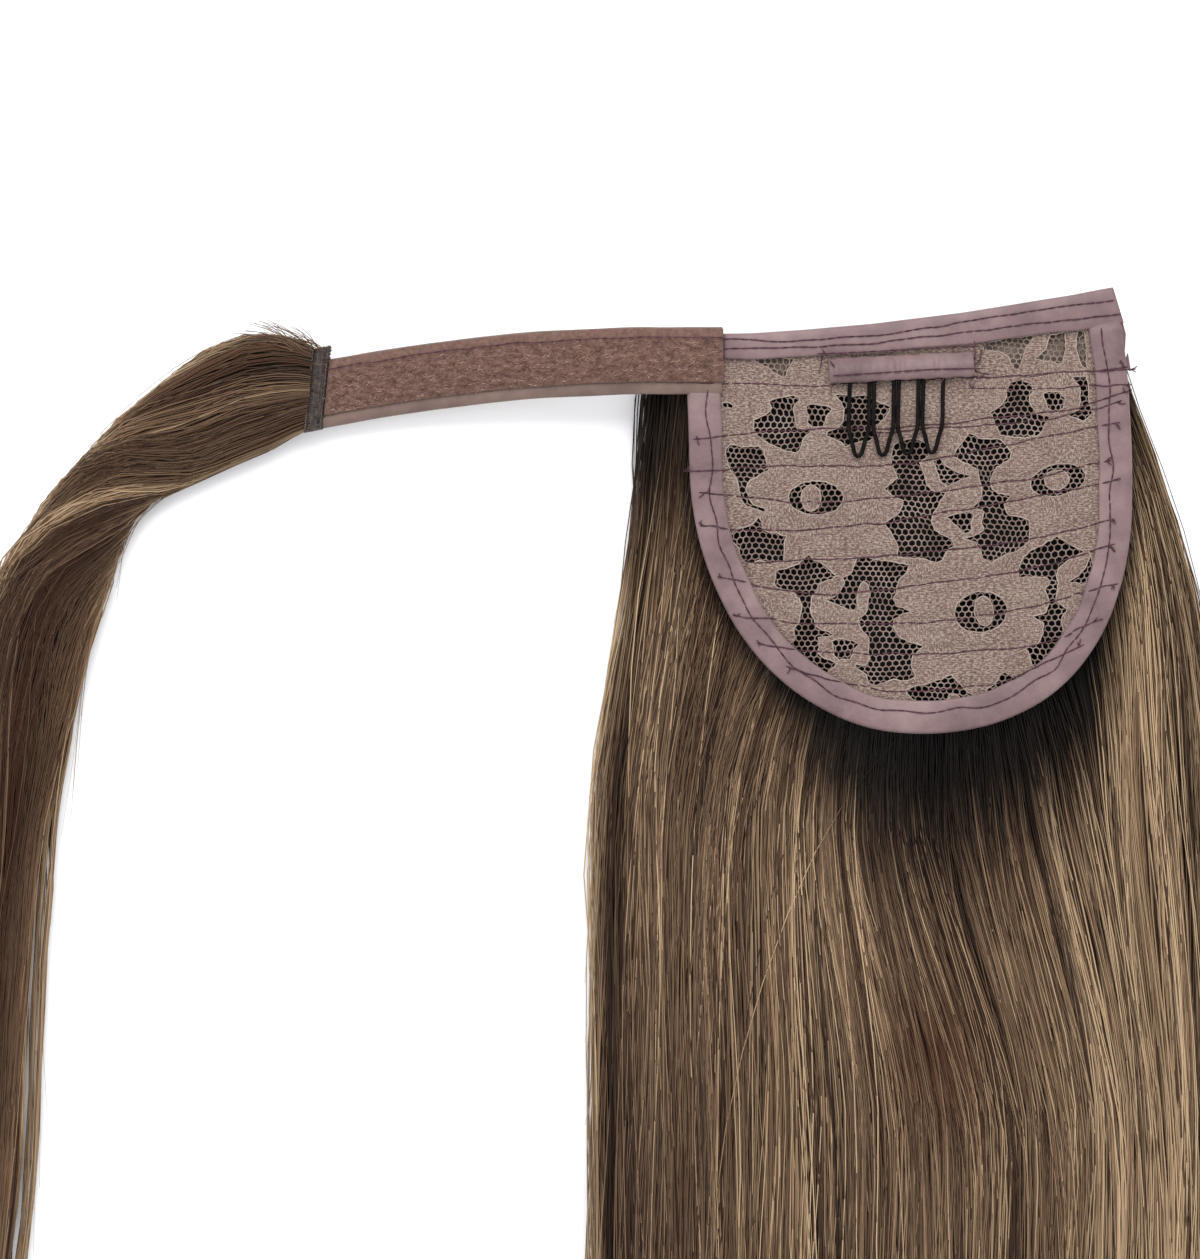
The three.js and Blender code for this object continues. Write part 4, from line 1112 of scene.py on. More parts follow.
def ribbon(distances, low, high, bottom, top, wave, seed):
    """Rings of a flat tape between two lines across the strap, with rounded edges."""
    place, drop, side = strap_place(distances)
    rings = []
    sway = noise_line(len(distances), 10, wave, seed)
    round_by = min(0.3, (top - bottom) / 2.5)
    for i in range(len(distances)):
        across = np.linspace(high - round_by, low + round_by, 7)
        crown = 0.1 * np.sin(np.pi * np.linspace(0, 1, 7))
        upper = np.column_stack([across, np.full(7, top) + crown])
        lower = np.column_stack([across[::-1], np.full(7, bottom)])
        section = np.vstack([upper, [(low, (bottom + top) / 2)], lower, [(high, (bottom + top) / 2)]])
        away = np.array([-side[i][1], side[i][0]])
        slant = -END_SLANT * smooth(distances[i], 80.0, STRAP_LEVEL + STRAP_CURVED)
        points = place[i] + side[i] * (section[:, :1] + sway[i]) + away * slant * section[:, :1]
        rings.append(np.column_stack([points, section[:, 1] - drop[i]]))
    return np.array(rings)


strap_rings = ribbon(np.linspace(0.2, STRAP_LEVEL + STRAP_CURVED, 120), -8, 8, 13.95, FLANGE_TOP, 0.05, 110)
strap_points, strap_faces = loft(strap_rings)
offset = len(band_points)
both_points = np.vstack([band_points, strap_points])
both_faces = band_faces + [tuple(i + offset for i in face) for face in strap_faces]
strap_piece = turned_outwards(new_piece("strap_and_band", both_points, both_faces, binding_satin))
strap_piece.data.materials.append(strap_satin)
for face in strap_piece.data.polygons:
    face.material_index = int(min(face.vertices) >= offset)
finish_piece(strap_piece, "mauve_satin", "strap_band")

# At the right end the tape's cut edge looks out from under the fold, with one frayed corner
scraps = [
    ((1114, 320), (1122, 319), (1126, 334), (1125, 350), (1121, 353), (1117, 338)),
    ((1125, 369), (1124, 362), (1128, 353), (1131, 371)),
]
scrap_points, scrap_faces = [], []
for corners in scraps:
    flat, first, count = photo(*corners), len(scrap_points), len(corners)
    scrap_points += [(x, y, z) for z in (12.6, 13.6) for x, y in flat]
    scrap_faces.append(tuple(first + i for i in range(count)))
    scrap_faces.append(tuple(first + count + i for i in range(count)))
    scrap_faces += [
        (first + i, first + (i + 1) % count, first + count + (i + 1) % count, first + count + i)
        for i in range(count)
    ]
scrap_piece = turned_outwards(new_piece("satin_cut_ends", scrap_points, scrap_faces, patch_satin, flat=True))
finish_piece(scrap_piece, "mauve_satin")

# %% [markdown]
# ## Loop tape
# The soft half of a hook-and-loop closure is a knitted base covered in small loops of bulked nylon, brushed
# so that they lie in all directions, mostly along the tape. The tree scatters points over the base's upper
# face and puts a little arch of thread on each, turned and sized at random.

# %% Loop tape
base_stops = ((0.3, "#503930"), (0.7, "#6B5046"))
loop_base = noisy_material("knitted_nylon_base", 1100.0, 3.0, *base_stops, Roughness=0.9)

loop_nylon, tree, shader = new_material("brushed_nylon_loops", Roughness=0.75, Specular_IOR_Level=0.3)
where = add_node(tree, "ShaderNodeTexCoord").outputs["Object"]
streaks = add_node(tree, "ShaderNodeMapping", {"Vector": where, "Scale": (350.0, 900.0, 1.0)})
tufts = add_node(tree, "ShaderNodeTexNoise", {"Vector": streaks, "Scale": 1.0, "Detail": 4.0})
shade = add_node(
    tree, "ShaderNodeValToRGB", {"Fac": tufts}, stops=[(0.34, "#4F382F"), (0.5, "#6E5347"), (0.66, "#A28475")]
).outputs["Color"]
tree.links.new(shade, shader.inputs["Base Color"])

tape_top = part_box("loop_tape")[1].z / MM
TAPE_LOW, TAPE_HIGH = -5.2, 7.7
TAPE_END = STRAP_LEVEL + STRAP_CURVED - 0.6
tape_levels = (FLANGE_TOP + 0.2, tape_top - 0.6)
tape_rings = ribbon(np.linspace(0.0, TAPE_END, 110), TAPE_LOW, TAPE_HIGH, *tape_levels, 0.04, 130)
tape_piece = solid("loop_tape_base", tape_rings, loop_base, "loop_pile", "loop_tape")

loop_tree, given = new_tree(
    "Loops on the tape",
    [
        ("Tape", "Geometry"),
        ("Loops to a square metre", "Float"),
        ("Loop radius", "Float"),
        ("Thread radius", "Float"),
        ("Seed", "Int"),
        ("Material", "Material"),
    ],
)
normal = add_node(loop_tree, "GeometryNodeInputNormal")
parts = add_node(loop_tree, "ShaderNodeSeparateXYZ", {"Vector": normal.outputs["Normal"]})
upwards = add_node(
    loop_tree,
    "FunctionNodeCompare",
    {0: parts.outputs["Z"], 1: 0.85},
    data_type="FLOAT",
    operation="GREATER_THAN",
)
strewn = add_node(
    loop_tree,
    "GeometryNodeDistributePointsOnFaces",
    {
        "Mesh": given["Tape"],
        "Selection": upwards,
        "Density": given["Loops to a square metre"],
        "Seed": given["Seed"],
    },
    distribute_method="RANDOM",
)
arch = add_node(
    loop_tree,
    "GeometryNodeCurveArc",
    {"Resolution": 6, "Radius": given["Loop radius"], "Start Angle": -0.35, "Sweep Angle": math.pi + 0.7},
    mode="RADIUS",
)
round_thread = add_node(
    loop_tree, "GeometryNodeCurvePrimitiveCircle", {"Resolution": 3, "Radius": given["Thread radius"]}
)
arch_mesh = add_node(
    loop_tree,
    "GeometryNodeCurveToMesh",
    {"Curve": arch, "Profile Curve": round_thread, "Fill Caps": True},
)
standing = add_node(
    loop_tree,
    "GeometryNodeTransform",
    {"Geometry": arch_mesh, "Rotation": (math.pi / 2, 0.0, 0.0)},
)
turned = add_node(
    loop_tree,
    "FunctionNodeRandomValue",
    {0: (-0.7, -0.2, -0.85), 1: (0.7, 0.2, 1.1), "Seed": 7},
    data_type="FLOAT_VECTOR",
)
sized = add_node(
    loop_tree,
    "FunctionNodeRandomValue",
    {0: (0.7, 0.8, 0.35), 1: (1.5, 1.2, 0.8), "Seed": 8},
    data_type="FLOAT_VECTOR",
)
looped = add_node(
    loop_tree,
    "GeometryNodeInstanceOnPoints",
    {"Points": strewn, "Instance": standing, "Rotation": turned, "Scale": sized},
)
close_tree(loop_tree, given, looped)

# The selvedge along the upper row of stitches has no loops
looped_rings = ribbon(np.linspace(0.3, TAPE_END - 0.2, 110), -5.0, 5.1, *tape_levels, 0.04, 130)
tape_copy = turned_outwards(new_piece("looped part of the tape", *loft(looped_rings), loop_nylon))
loops_piece = grown(
    "loop_tape_pile",
    loop_tree,
    tape_copy,
    Loops_to_a_square_metre=1.75e6,
    Loop_radius=0.48 * MM,
    Thread_radius=0.11 * MM,
    Seed=21,
    Material=loop_nylon,
)
finish_piece(loops_piece, "loop_pile")

# %% [markdown]
# ## Comb and patch
# The comb is black lacquered spring wire: four hairpins side by side on a bar. The legs run straight from the
# bar and then close to a rounded tip. A satin patch is sewn over the bar, gathered a little by its seams.

# %% Comb
wire_stops = ((0.35, "#070606"), (0.75, "#181412"))
wire_values = {"Roughness": 0.45, "Specular_IOR_Level": 0.06}
comb_lacquer = noisy_material("black_lacquered_spring_wire", 500.0, 3.0, *wire_stops, **wire_values)

COMB_PITCH = 5.85
COMB_AT = np.array([-3.2, 33.85])
COMB_TILT = math.radians(2.8)
COMB_HEIGHT = 14.55


def on_comb(points):
    """Places on the comb, which is turned a little, as millimetres round the pad's middle."""
    points = np.asarray(points, float)
    x, y = points[:, 0], points[:, 1]
    turned = np.column_stack(
        [x * math.cos(COMB_TILT) - y * math.sin(COMB_TILT), x * math.sin(COMB_TILT) + y * math.cos(COMB_TILT)]
    )
    return np.column_stack([turned + COMB_AT, points[:, 2] + COMB_HEIGHT])


comb_routes = [on_comb(resampled([(-11.4, 0, 0), (11.4, 0, 0)], 2.0))]
comb_radii = [np.array([0.62])]
for index in range(4):
    middle = (index - 1.5) * COMB_PITCH
    slope = math.tan(math.radians(4.0))
    legs = [
        (-2.35, 0), (-2.35, -7), (-2.35, -13.8), (-1.62, -16.75), (-0.9, -19.7), (-0.45, -20.45), (0, -20.6)
    ]
    legs += [(-x, y) for x, y in reversed(legs[:-1])]
    line = curved([(middle + x + y * slope, y) for x, y in legs], 0.7)
    bow = 0.12 * np.sin(np.linspace(0, math.pi, len(line)))
    comb_routes.append(on_comb(np.column_stack([line, bow])))
    comb_radii.append(np.array([0.5]))
tubes("comb_wires", comb_routes, comb_radii, comb_lacquer, "comb_wire", "wire_comb", sides=12)

# %% Patch
PATCH_HALF = 17.25
PATCH_SHIFT = 1.1
patch_rings = []
stations = np.linspace(-PATCH_HALF, PATCH_HALF, 90)
pleat = noise_line(90, 3, 0.16, 150)
for i, x in enumerate(stations):
    slant = 1.6 * smooth(x, -PATCH_HALF, -PATCH_HALF + 3)
    squeeze = 0.08 * math.sin(x * 1.3) + 0.1 * pleat[i]
    across = np.array([3.0, 2.7, 1.9, 1.0, 0.0, -1.0, -2.0, -2.7, -3.0])
    top = np.array([14.5, 14.75, 15.3, 15.9, 16.2, 16.25, 16.15, 15.95, 15.6])
    top = top + pleat[i] * np.sin(np.pi * (3 - across) / 6)
    top = np.minimum(top, 16.4)
    under = np.array([15.1, 15.3, 15.42, 15.45, 15.4, 15.3, 14.9, 14.2, 13.95])
    section = [(y + squeeze * y / 3, z) for y, z in zip(across, top)]
    section += [(y + squeeze * y / 3, z) for y, z in zip(across[::-1], under)]
    patch_rings.append(on_comb([(x + PATCH_SHIFT, y, z - COMB_HEIGHT) for y, z in section]))
patch_piece = solid("comb_patch_satin", patch_rings, patch_satin, "mauve_satin", "comb_patch")

# %% [markdown]
# ## Sewing
# Now every seam is sewn: the rows over the lace, the line round the binding, two lines along the band, one
# near each edge of the strap, and the frame round the patch. Tails and knots are short curled tubes.


# %% Seams in thread
def sewn_height(points):
    """Height of the upper surface under a seam: on the lace, and on the binding near the edge."""
    deep = inset(points[:, :2])
    over = 1 - smooth(deep, 7.2, 8.8)
    band_low = np.interp(points[:, 0], [-44.5, 0, 25, 48.2], [36.0, 37.5, 40.0, 43.0])
    over = np.maximum(over, smooth(points[:, 1] - band_low, -0.4, 0.6))
    return mix(LACE_TOP - 0.08, FLANGE_TOP + 0.06, over)


def on_strap(distances, across, above):
    place, drop, side = strap_place(distances)
    return np.column_stack([place + side * np.reshape(across, (-1, 1)), above - drop])


seams = []
for line in row_lines:
    line = line.copy()
    line[:, 2] = sewn_height(line)
    seams.append(line)
round_line = pad_edge(0.8)
round_in = 4.9 + noise_line(len(round_line), 8, 0.35, 170)
binding_seam = round_line - outward_of(round_line) * round_in[:, None]
seams.append(np.column_stack([binding_seam, np.full(len(binding_seam), FLANGE_TOP + 0.08)]))
band_upper = curved(
    photo((725, 340), (790, 341), (860, 337), (925, 329), (980, 319), (1050, 309), (1109, 301)), 0.6
)
band_lower = curved(
    photo((725, 349), (790, 348), (860, 344), (925, 338), (980, 331), (1050, 322), (1115, 315)), 0.6
)
for number, line in enumerate((band_upper, band_lower)):
    line[:, 1] += noise_line(len(line), 8, 0.12, 180 + number)
    seams.append(np.column_stack([line, np.full(len(line), FLANGE_TOP + 0.12)]))
patch_frame = [
    curved(photo((822, 354), (870, 352), (920, 349), (974, 347)), 0.6),
    curved(photo((974, 347), (974, 358), (973, 371)), 0.6),
    curved(photo((976, 369), (930, 370), (885, 373), (838, 376)), 0.6),
    curved(photo((840, 377), (833, 366), (824, 353)), 0.6),
]
patch_frame_heights = (15.3, 15.9, 16.45, 15.9)
for line, above in zip(patch_frame, patch_frame_heights):
    seams.append(np.column_stack([line, np.full(len(line), above)]))
stitches("seams_of_the_pad", seams)

strap_run = np.arange(0.5, STRAP_LEVEL + STRAP_CURVED - 1, 0.6)
upper = 5.4 + noise_line(len(strap_run), 8, 0.1, 190)
lower = -4.9 + noise_line(len(strap_run), 8, 0.1, 191)
strap_seams = [on_strap(strap_run, upper, tape_top + 0.02), on_strap(strap_run, lower, FLANGE_TOP + 0.3)]
stitches("seams_of_the_strap", strap_seams, length=2.1, width=0.36)

tails = []
tail_rng = np.random.default_rng(25)


def add_tail(start, heading, length, height):
    """A curled end of thread from a place, in a direction in degrees."""
    steps = np.linspace(0, 1, 7)
    bend = tail_rng.normal(0, 0.9)
    angle = math.radians(heading) + bend * steps
    run = np.cumsum(np.column_stack([np.cos(angle), np.sin(angle)]) * length / 6, axis=0)
    tails.append(np.column_stack([np.asarray(start) + run - run[0], height + 0.35 * np.sin(steps * 2.6)]))


for line in row_lines:
    for end, heading in ((line[0], 180), (line[-1], 0)):
        for _ in range(2):
            add_tail(end[:2], heading + tail_rng.normal(0, 60), tail_rng.uniform(0.8, 2.2), FLANGE_TOP + 0.1)
for x, y, heading in (
    (822, 354, 270), (823, 352, 100), (981, 350, 290), (984, 349, 60), (840, 376, 210), (975, 370, 320)
):
    add_tail(photo((x, y))[0], heading, 4.5, LACE_TOP + 0.4)
tail_radii = [np.linspace(0.17, 0.12, 7)] * len(tails)
tubes("thread_tails", tails, tail_radii, thread_purple, "weft_thread", sides=5)

# %% [markdown]
# ## The lie of the hair
# The CAD's hair is a solid with the right outline and depth. Rays from above measure its height on a grid,
# and a blur takes away the steps between its locks. Every strand below asks this grid how high it may lie,
# so the strands follow the solid from any side.

# %% Height of the hair
GRID = 2.0
hair_tree = BVHTree.FromObject(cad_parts["ponytail_hair"], bpy.context.evaluated_depsgraph_get())
hair_low, hair_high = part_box("ponytail_hair")
HAIR_LEFT = hair_low.x / MM - PAD_MIDDLE[0]
HAIR_RIGHT = hair_high.x / MM - PAD_MIDDLE[0]
HAIR_TOP = hair_high.y / MM - PAD_MIDDLE[1]
HAIR_TIPS = hair_low.y / MM - PAD_MIDDLE[1]
grid_x = np.arange(HAIR_LEFT - 4, HAIR_RIGHT + 4 + GRID, GRID)
grid_y = np.arange(HAIR_TIPS - 4, HAIR_TOP + 4 + GRID, GRID)
heights = np.zeros((len(grid_y), len(grid_x)))
for j, y in enumerate(grid_y):
    for i, x in enumerate(grid_x):
        start = Vector(((x + PAD_MIDDLE[0]) * MM, (y + PAD_MIDDLE[1]) * MM, 0.05))
        hit = hair_tree.ray_cast(start, Vector((0, 0, -1)))[0]
        heights[j, i] = hit.z / MM if hit else 0.0
covered = heights > 0.05


def blurred(values, cells):
    """A grid that a Gaussian window has averaged along both axes."""
    span = np.arange(-3 * cells, 3 * cells + 1)
    window = np.exp(-0.5 * (span / cells) ** 2)
    for axis in (0, 1):
        values = np.apply_along_axis(
            lambda line: np.convolve(line, window / window.sum(), "same"), axis, values
        )
    return values


SURFACE = blurred(heights * covered, 4) / np.maximum(blurred(covered * 1.0, 4), 1e-3)
row_has = covered.any(axis=1)
left_edge = np.where(row_has, grid_x[covered.argmax(axis=1)], np.nan)
right_edge = np.where(row_has, grid_x[len(grid_x) - 1 - covered[:, ::-1].argmax(axis=1)], np.nan)
good = row_has & (grid_y > HAIR_TIPS + 62)
LEFT = np.interp(grid_y, grid_y[good], left_edge[good])
RIGHT = np.interp(grid_y, grid_y[good], right_edge[good])
kernel = np.hanning(29) / np.hanning(29).sum()
LEFT = np.convolve(np.pad(LEFT, 14, "edge"), kernel, "valid")
RIGHT = np.convolve(np.pad(RIGHT, 14, "edge"), kernel, "valid")


def surface(x, y):
    """Height of the hair's upper side, between grid points."""
    return between(SURFACE, GRID, grid_x[0], grid_y[0], x, y)


def left_at(y):
    return np.interp(y, grid_y, LEFT)


def right_at(y):
    return np.interp(y, grid_y, RIGHT)


print(
    "hair from",
    round(HAIR_TOP),
    "down to",
    round(HAIR_TIPS),
    "mm, up to",
    round(float(SURFACE.max()), 1),
    "mm deep",
)

# %% [markdown]
# ## Brown hair
# Hair is a thin fibre of keratin with a smooth, slightly scaly skin: each one shines along a narrow line, and
# no two are of one colour. So the colour comes from two numbers on the points of each strand. Tone runs from
# dark ash over brown to gold, and shade is how little light reaches that place deep in the bundle.


# %% Hair materials
def hair_material(name, stops, roughness):
    """Brown hair whose tone and warmth come from the strand's own points, and its painted shade too."""
    made, tree, shader = new_material(name, Roughness=roughness, IOR=1.55, Specular_IOR_Level=0.13)
    tone, warm, shade = (
        add_node(tree, "ShaderNodeAttribute", attribute_name=key).outputs["Fac"]
        for key in ("tone", "warm", "shade")
    )
    tint = add_node(tree, "ShaderNodeValToRGB", {"Fac": tone}, stops=stops).outputs["Color"]
    redder = add_node(tree, "ShaderNodeMix", {0: warm, 6: tint, 7: colour("#55301C")}, data_type="RGBA")
    # The shade number is painted shade: it darkens the colour towards near black.
    dimmed = add_node(
        tree,
        "ShaderNodeMix",
        {0: shade, 6: colour("#060403"), 7: redder.outputs[2]},
        data_type="RGBA",
    )
    tree.links.new(dimmed.outputs[2], shader.inputs["Base Color"])
    return made


HAIR_STOPS = ((0.0, "#1B130D"), (0.3, "#3D2F24"), (0.52, "#5C4A39"), (0.75, "#846C53"), (1.0, "#BBA180"))
strand_hair = hair_material("keratin_hair_strands", HAIR_STOPS, 0.38)
core_hair = hair_material("keratin_hair_depths", HAIR_STOPS, 0.7)
print("hair materials:", strand_hair.name, core_hair.name)

# %% [markdown]
# ## Where the strands run
# The rows of hair are sewn under the pad, so every strand first shows where it leaves the pad's edge. From
# there it bends into the column that it hangs in. Right of the middle the columns swing to the right on their
# way down, as in the photograph. Below the pad little light gets in between the roots, and the border between
# dark and light is as ragged as the strands are.

# %% Columns, exits and the dark hollow
def swing(column, y):
    """How far left of its column a strand still is before the bundle swings to the right."""
    strength = np.exp(-(((column - 0.28) / 0.5) ** 2)) * (1 - smooth(np.abs(column), 0.82, 1.0))
    return 19.0 * strength * (1 - smooth(-y, 70, 158))


def column_x(column, y):
    return mix(left_at(y), right_at(y), (column + 1) / 2) - swing(column, y)


def u_bottom(x):
    """The lower edge of the pad at a place across it."""
    lower = EDGE[EDGE[:, 1] < 0]
    order = np.argsort(lower[:, 0])
    return np.interp(x, lower[order, 0], lower[order, 1])


def leg_x(y):
    """How far from the middle the pad's right edge is at a height."""
    side = EDGE[EDGE[:, 0] > 0]
    order = np.argsort(side[:, 1])
    return np.interp(y, side[order, 1], side[order, 0])


FIELD_STEP = 3.0
FIELD_X = np.arange(-90, 92, FIELD_STEP)
FIELD_Y = np.arange(-110, 50, FIELD_STEP)
FIELD = inset(np.stack(np.meshgrid(FIELD_X, FIELD_Y), axis=2).reshape(-1, 2)).reshape(
    len(FIELD_Y), len(FIELD_X)
)


def inset_fast(x, y):
    """The distance inside the pad's edge from a grid, for many points at once."""
    return between(FIELD, FIELD_STEP, FIELD_X[0], FIELD_Y[0], x, y)


def hollow(x, y, ragged=1.0):
    """How dark the roots are under and just below the pad, as painted shade and partly darker roots, and
    darker still beside the left leg: 0 is black, 1 is out in the light.
    """
    below = u_bottom(np.clip(x, -47, 49)) - y
    middle = np.exp(-np.abs((x - 13) / 41) ** 4)
    start = mix(-4.0, 10.0, middle) * ragged
    reach = mix(9.0, 42.0, middle) * ragged
    lit = smooth(below, start, start + reach) ** 1.5
    beside = smooth(-inset_fast(x, y), -2.0, 6.0) * smooth(y, -52, -28)
    lit = np.where(np.abs(x) > 46, np.maximum(lit, beside), lit)
    corner = (1 - smooth(x, -58, -48)) * smooth(y, -26, 16)
    return lit * (1 - 0.93 * corner)


EXITS = np.linspace(-50, 50, 101)
FALLS_TO = EXITS + np.sign(EXITS) * 20 * (np.abs(EXITS) / 50) ** 1.5
print("strands that leave the pad 50 mm from its middle hang", round(FALLS_TO[-1]), "mm from it")

# %% [markdown]
# ## Depths of the ponytail
# Under the strands lies a closed body, the rest of the hair, dark with painted shade. It keeps light from
# shining through between the strands and gives the bundle its thickness in a side view. It is a loft across
# the measured outline.

# %% Ponytail core
core_rings = []
for y in np.arange(HAIR_TOP - 1.5, HAIR_TIPS + 34, -4.0):
    across = np.linspace(-1, 1, 56)
    fade = 1 - 0.85 * smooth(-y, 250, 322)
    low_x, high_x = left_at(y) + 1.5, right_at(y) - 1.5
    x = mix(low_x, high_x, (across + 1) / 2)
    edge = (1 - np.abs(across) ** 9) ** 0.5
    top = np.maximum((surface(x, np.full(56, y)) * 0.97 - 1.4) * edge * fade, 0.5)
    top = np.minimum(top, 10.0 if y > -56 else 20.0) * (1 - 0.08 * smooth(y, HAIR_TOP - 9, HAIR_TOP))
    upper = np.column_stack([x, np.full(56, y), top])
    x = mix(low_x, high_x, np.linspace(0.99, 0.01, 20))
    lower = np.column_stack([x, np.full(20, y), np.full(20, 0.15)])
    core_rings.append(np.vstack([upper, lower]))
core_y = np.concatenate(core_rings)[:, 1]
core_x = np.concatenate(core_rings)[:, 0]
core_rng = np.random.default_rng(31)
# Painted shade: the depths stay dark, black under the pad, and lighter towards the end face under the band.
core_values = {
    "tone": np.tile(core_rng.uniform(0.1, 0.4, 76), len(core_rings)),
    "warm": 0.1,
    "shade": 0.35 * hollow(core_x, core_y) + 0.5 * smooth(core_y, HAIR_TOP - 5, HAIR_TOP - 1),
}
solid("hair_depths", core_rings, core_hair, "brown_hair", "ponytail_hair", values=core_values)

# %% [markdown]
# ## Strands of the ponytail
# Strands come in locks: those of one lock share a tone, a level and a phase, and they spread and close
# together as they go down. Upper locks lie over lower ones, which are darkened with painted shade. The arrays
# hold one row for each strand and one column for each station along it.


# %% Strands of the ponytail
def strand_batch(count, seed, locks, lowest, width, steps=18):
    """Routes, radii and tones of many strands of the ponytail."""
    random = np.random.default_rng(seed)
    lock_at = np.sort(random.uniform(-1.0, 1.0, locks))
    lock_tone = np.clip(random.normal(0.5, 0.19, locks), 0.1, 0.9)
    lock_warm = random.uniform(0, 0.22, locks)
    lock_phase = random.uniform(0, 2 * np.pi, locks)
    lock_wide = random.uniform(0.008, 0.05, locks)
    lock_level = random.uniform(0, 1, locks)
    lock = random.integers(0, locks, count)
    within = np.clip(random.normal(0, 0.5, count), -1, 1)
    column = np.clip(lock_at[lock] + within * lock_wide[lock], -1.0, 1.0)
    level = np.clip(lock_level[lock] + random.normal(0, 0.18, count), 0, 1)
    # Deeper strands are darkened in tone too: painted shade.
    tone = np.clip(lock_tone[lock] + random.normal(0, 0.12, count) - 0.12 * level, 0, 1)
    bright = random.uniform(0, 1, count) < 0.06
    tone[bright] = random.uniform(0.75, 0.95, bright.sum())

    far = column_x(column, np.full(count, -81.0))
    exit_x = np.interp(far, FALLS_TO, EXITS)
    exit_y = u_bottom(exit_x) + random.uniform(0, 5, count) * smooth(np.abs(far), 35, 50)
    fall = random.uniform(22, 30, count)
    right = far > 50
    exit_y[right] = (mix(-34, 27, np.abs((far - 50) / 26) ** 0.8) + random.normal(0, 7, count))[right]
    left = far < -50
    exit_y[left] = (mix(-36, 6, (-far - 50) / 26) + random.normal(0, 8, count))[left]
    legs = right | left
    exit_x = exit_x + random.normal(0, 1.0, count) * (1 + 2.0 * smooth(np.abs(far), 35, 55))
    exit_x[legs] = (np.sign(far) * leg_x(exit_y))[legs]
    fall[legs] = random.uniform(26, 60, count)[legs]
    straight = (far < -60) & (random.uniform(0, 1, count) < 0.5)
    exit_y[straight] = random.uniform(25, 30, count)[straight]
    pull = exit_x - column_x(column, exit_y)
    pull[straight] = random.uniform(-1, 3, count)[straight]

    s = np.linspace(0, 1, steps)[None, :] ** 1.25
    root_y = exit_y + 8
    length = 1 - lowest * random.uniform(0, 1, count) ** 1.8
    side_cut = 16 * np.abs(column) ** 3
    tip_y = mix(root_y, HAIR_TIPS + 1.0 + side_cut, length)
    y = mix(root_y[:, None], tip_y[:, None], s)
    drift = random.normal(0, 0.018, count)[:, None]
    middle = column_x(np.clip(column[:, None] + drift * s, -1.01, 1.01), y)
    x = middle + pull[:, None] * np.exp(-(exit_y[:, None] - y) / fall[:, None])
    phase = lock_phase[lock][:, None]
    x += (within * lock_wide[lock])[:, None] * 76 * (0.5 * np.sin(y / 46 + phase) - 0.1)
    x += 1.5 * np.sin(y / 31 + phase) * smooth(root_y[:, None] - y, 8, 60)
    x += random.normal(0, 0.5, count)[:, None] * np.sin(y / 17 + np.arange(count)[:, None])
    high = surface(x, y)
    z = high + 0.5 - 1.9 * level[:, None] - 0.5 * within[:, None] ** 2
    side_share = random.uniform(0.2, 1.0, count)[:, None]
    z = np.where(np.abs(column)[:, None] > 0.93, high * side_share, z)
    roof = mix(30.0, 10.6, smooth(inset_fast(x, y), -4.0, 0.5))
    roof = np.where(y > 24, np.minimum(roof, 10.6), roof)
    z = np.maximum(np.minimum(z, roof), 0.35)
    z[:, -3:] = np.maximum(z[:, -3:] * np.array([0.8, 0.6, 0.4]), 0.35)
    routes = np.stack([x, y, z], axis=2)

    thinning = np.interp(s[0], [0, 0.75, 1], [1, 0.95, 0.3])
    radii = width * random.uniform(0.7, 1.3, count)[:, None] * thinning
    dark_band = 0.28 * np.exp(-(((x + 70) / 5) ** 2)) * smooth(-y, 20, 60)
    # rim is a painted light along the bundle's left edge.
    rim = 0.34 * (1 - smooth(x - left_at(y), 1.0, 3.6)) * smooth(-y, 0, 40)
    golden = (
        0.2 * smooth(x, 27, 50) * (1 - 0.6 * smooth(-y, 200, 260)) - 0.08 * smooth(-x, 30, 60)
        * smooth(-y, 90, 150)
    )
    golden = golden - 0.12 * np.exp(-(((x + 43) / 14) ** 2 + ((y + 57) / 17) ** 2))
    patch = np.exp(-(((x - 7) / 11) ** 2 + ((y + 131) / 15) ** 2))
    waves = 0.05 * np.sin(y / 23 + np.arange(count)[:, None]) + 0.05 * np.sin(x / 7.5 + 2 * np.sin(y / 60))
    tones = np.clip(tone[:, None] + 0.05 - dark_band + rim + golden - 0.15 * patch + waves, 0, 1)
    # Painted shade under and below the pad and on deeper locks; the shaded roots are also made redder.
    lit = hollow(x, y, random.uniform(0.65, 1.35, count)[:, None])
    shades = np.clip((0.02 + 0.98 * lit) * mix(1.0, 0.42, level[:, None]), 0, 1)
    warms = np.clip(lock_warm[lock][:, None] + 0.35 * patch + 0.3 * (1 - lit), 0, 1)
    return routes, radii, {"tone": tones, "warm": warms, "shade": shades}


PONYTAIL_BATCHES = ((1720, 51, 190, 0.26), (1720, 52, 230, 0.2), (1720, 53, 210, 0.15))
for number, (count, seed, locks, lowest) in enumerate(PONYTAIL_BATCHES):
    routes, radii, values = strand_batch(count, seed, locks, lowest, 0.165)
    tubes(f"ponytail_strands_{number + 1}", routes, radii, strand_hair, "brown_hair", sides=3, values=values)

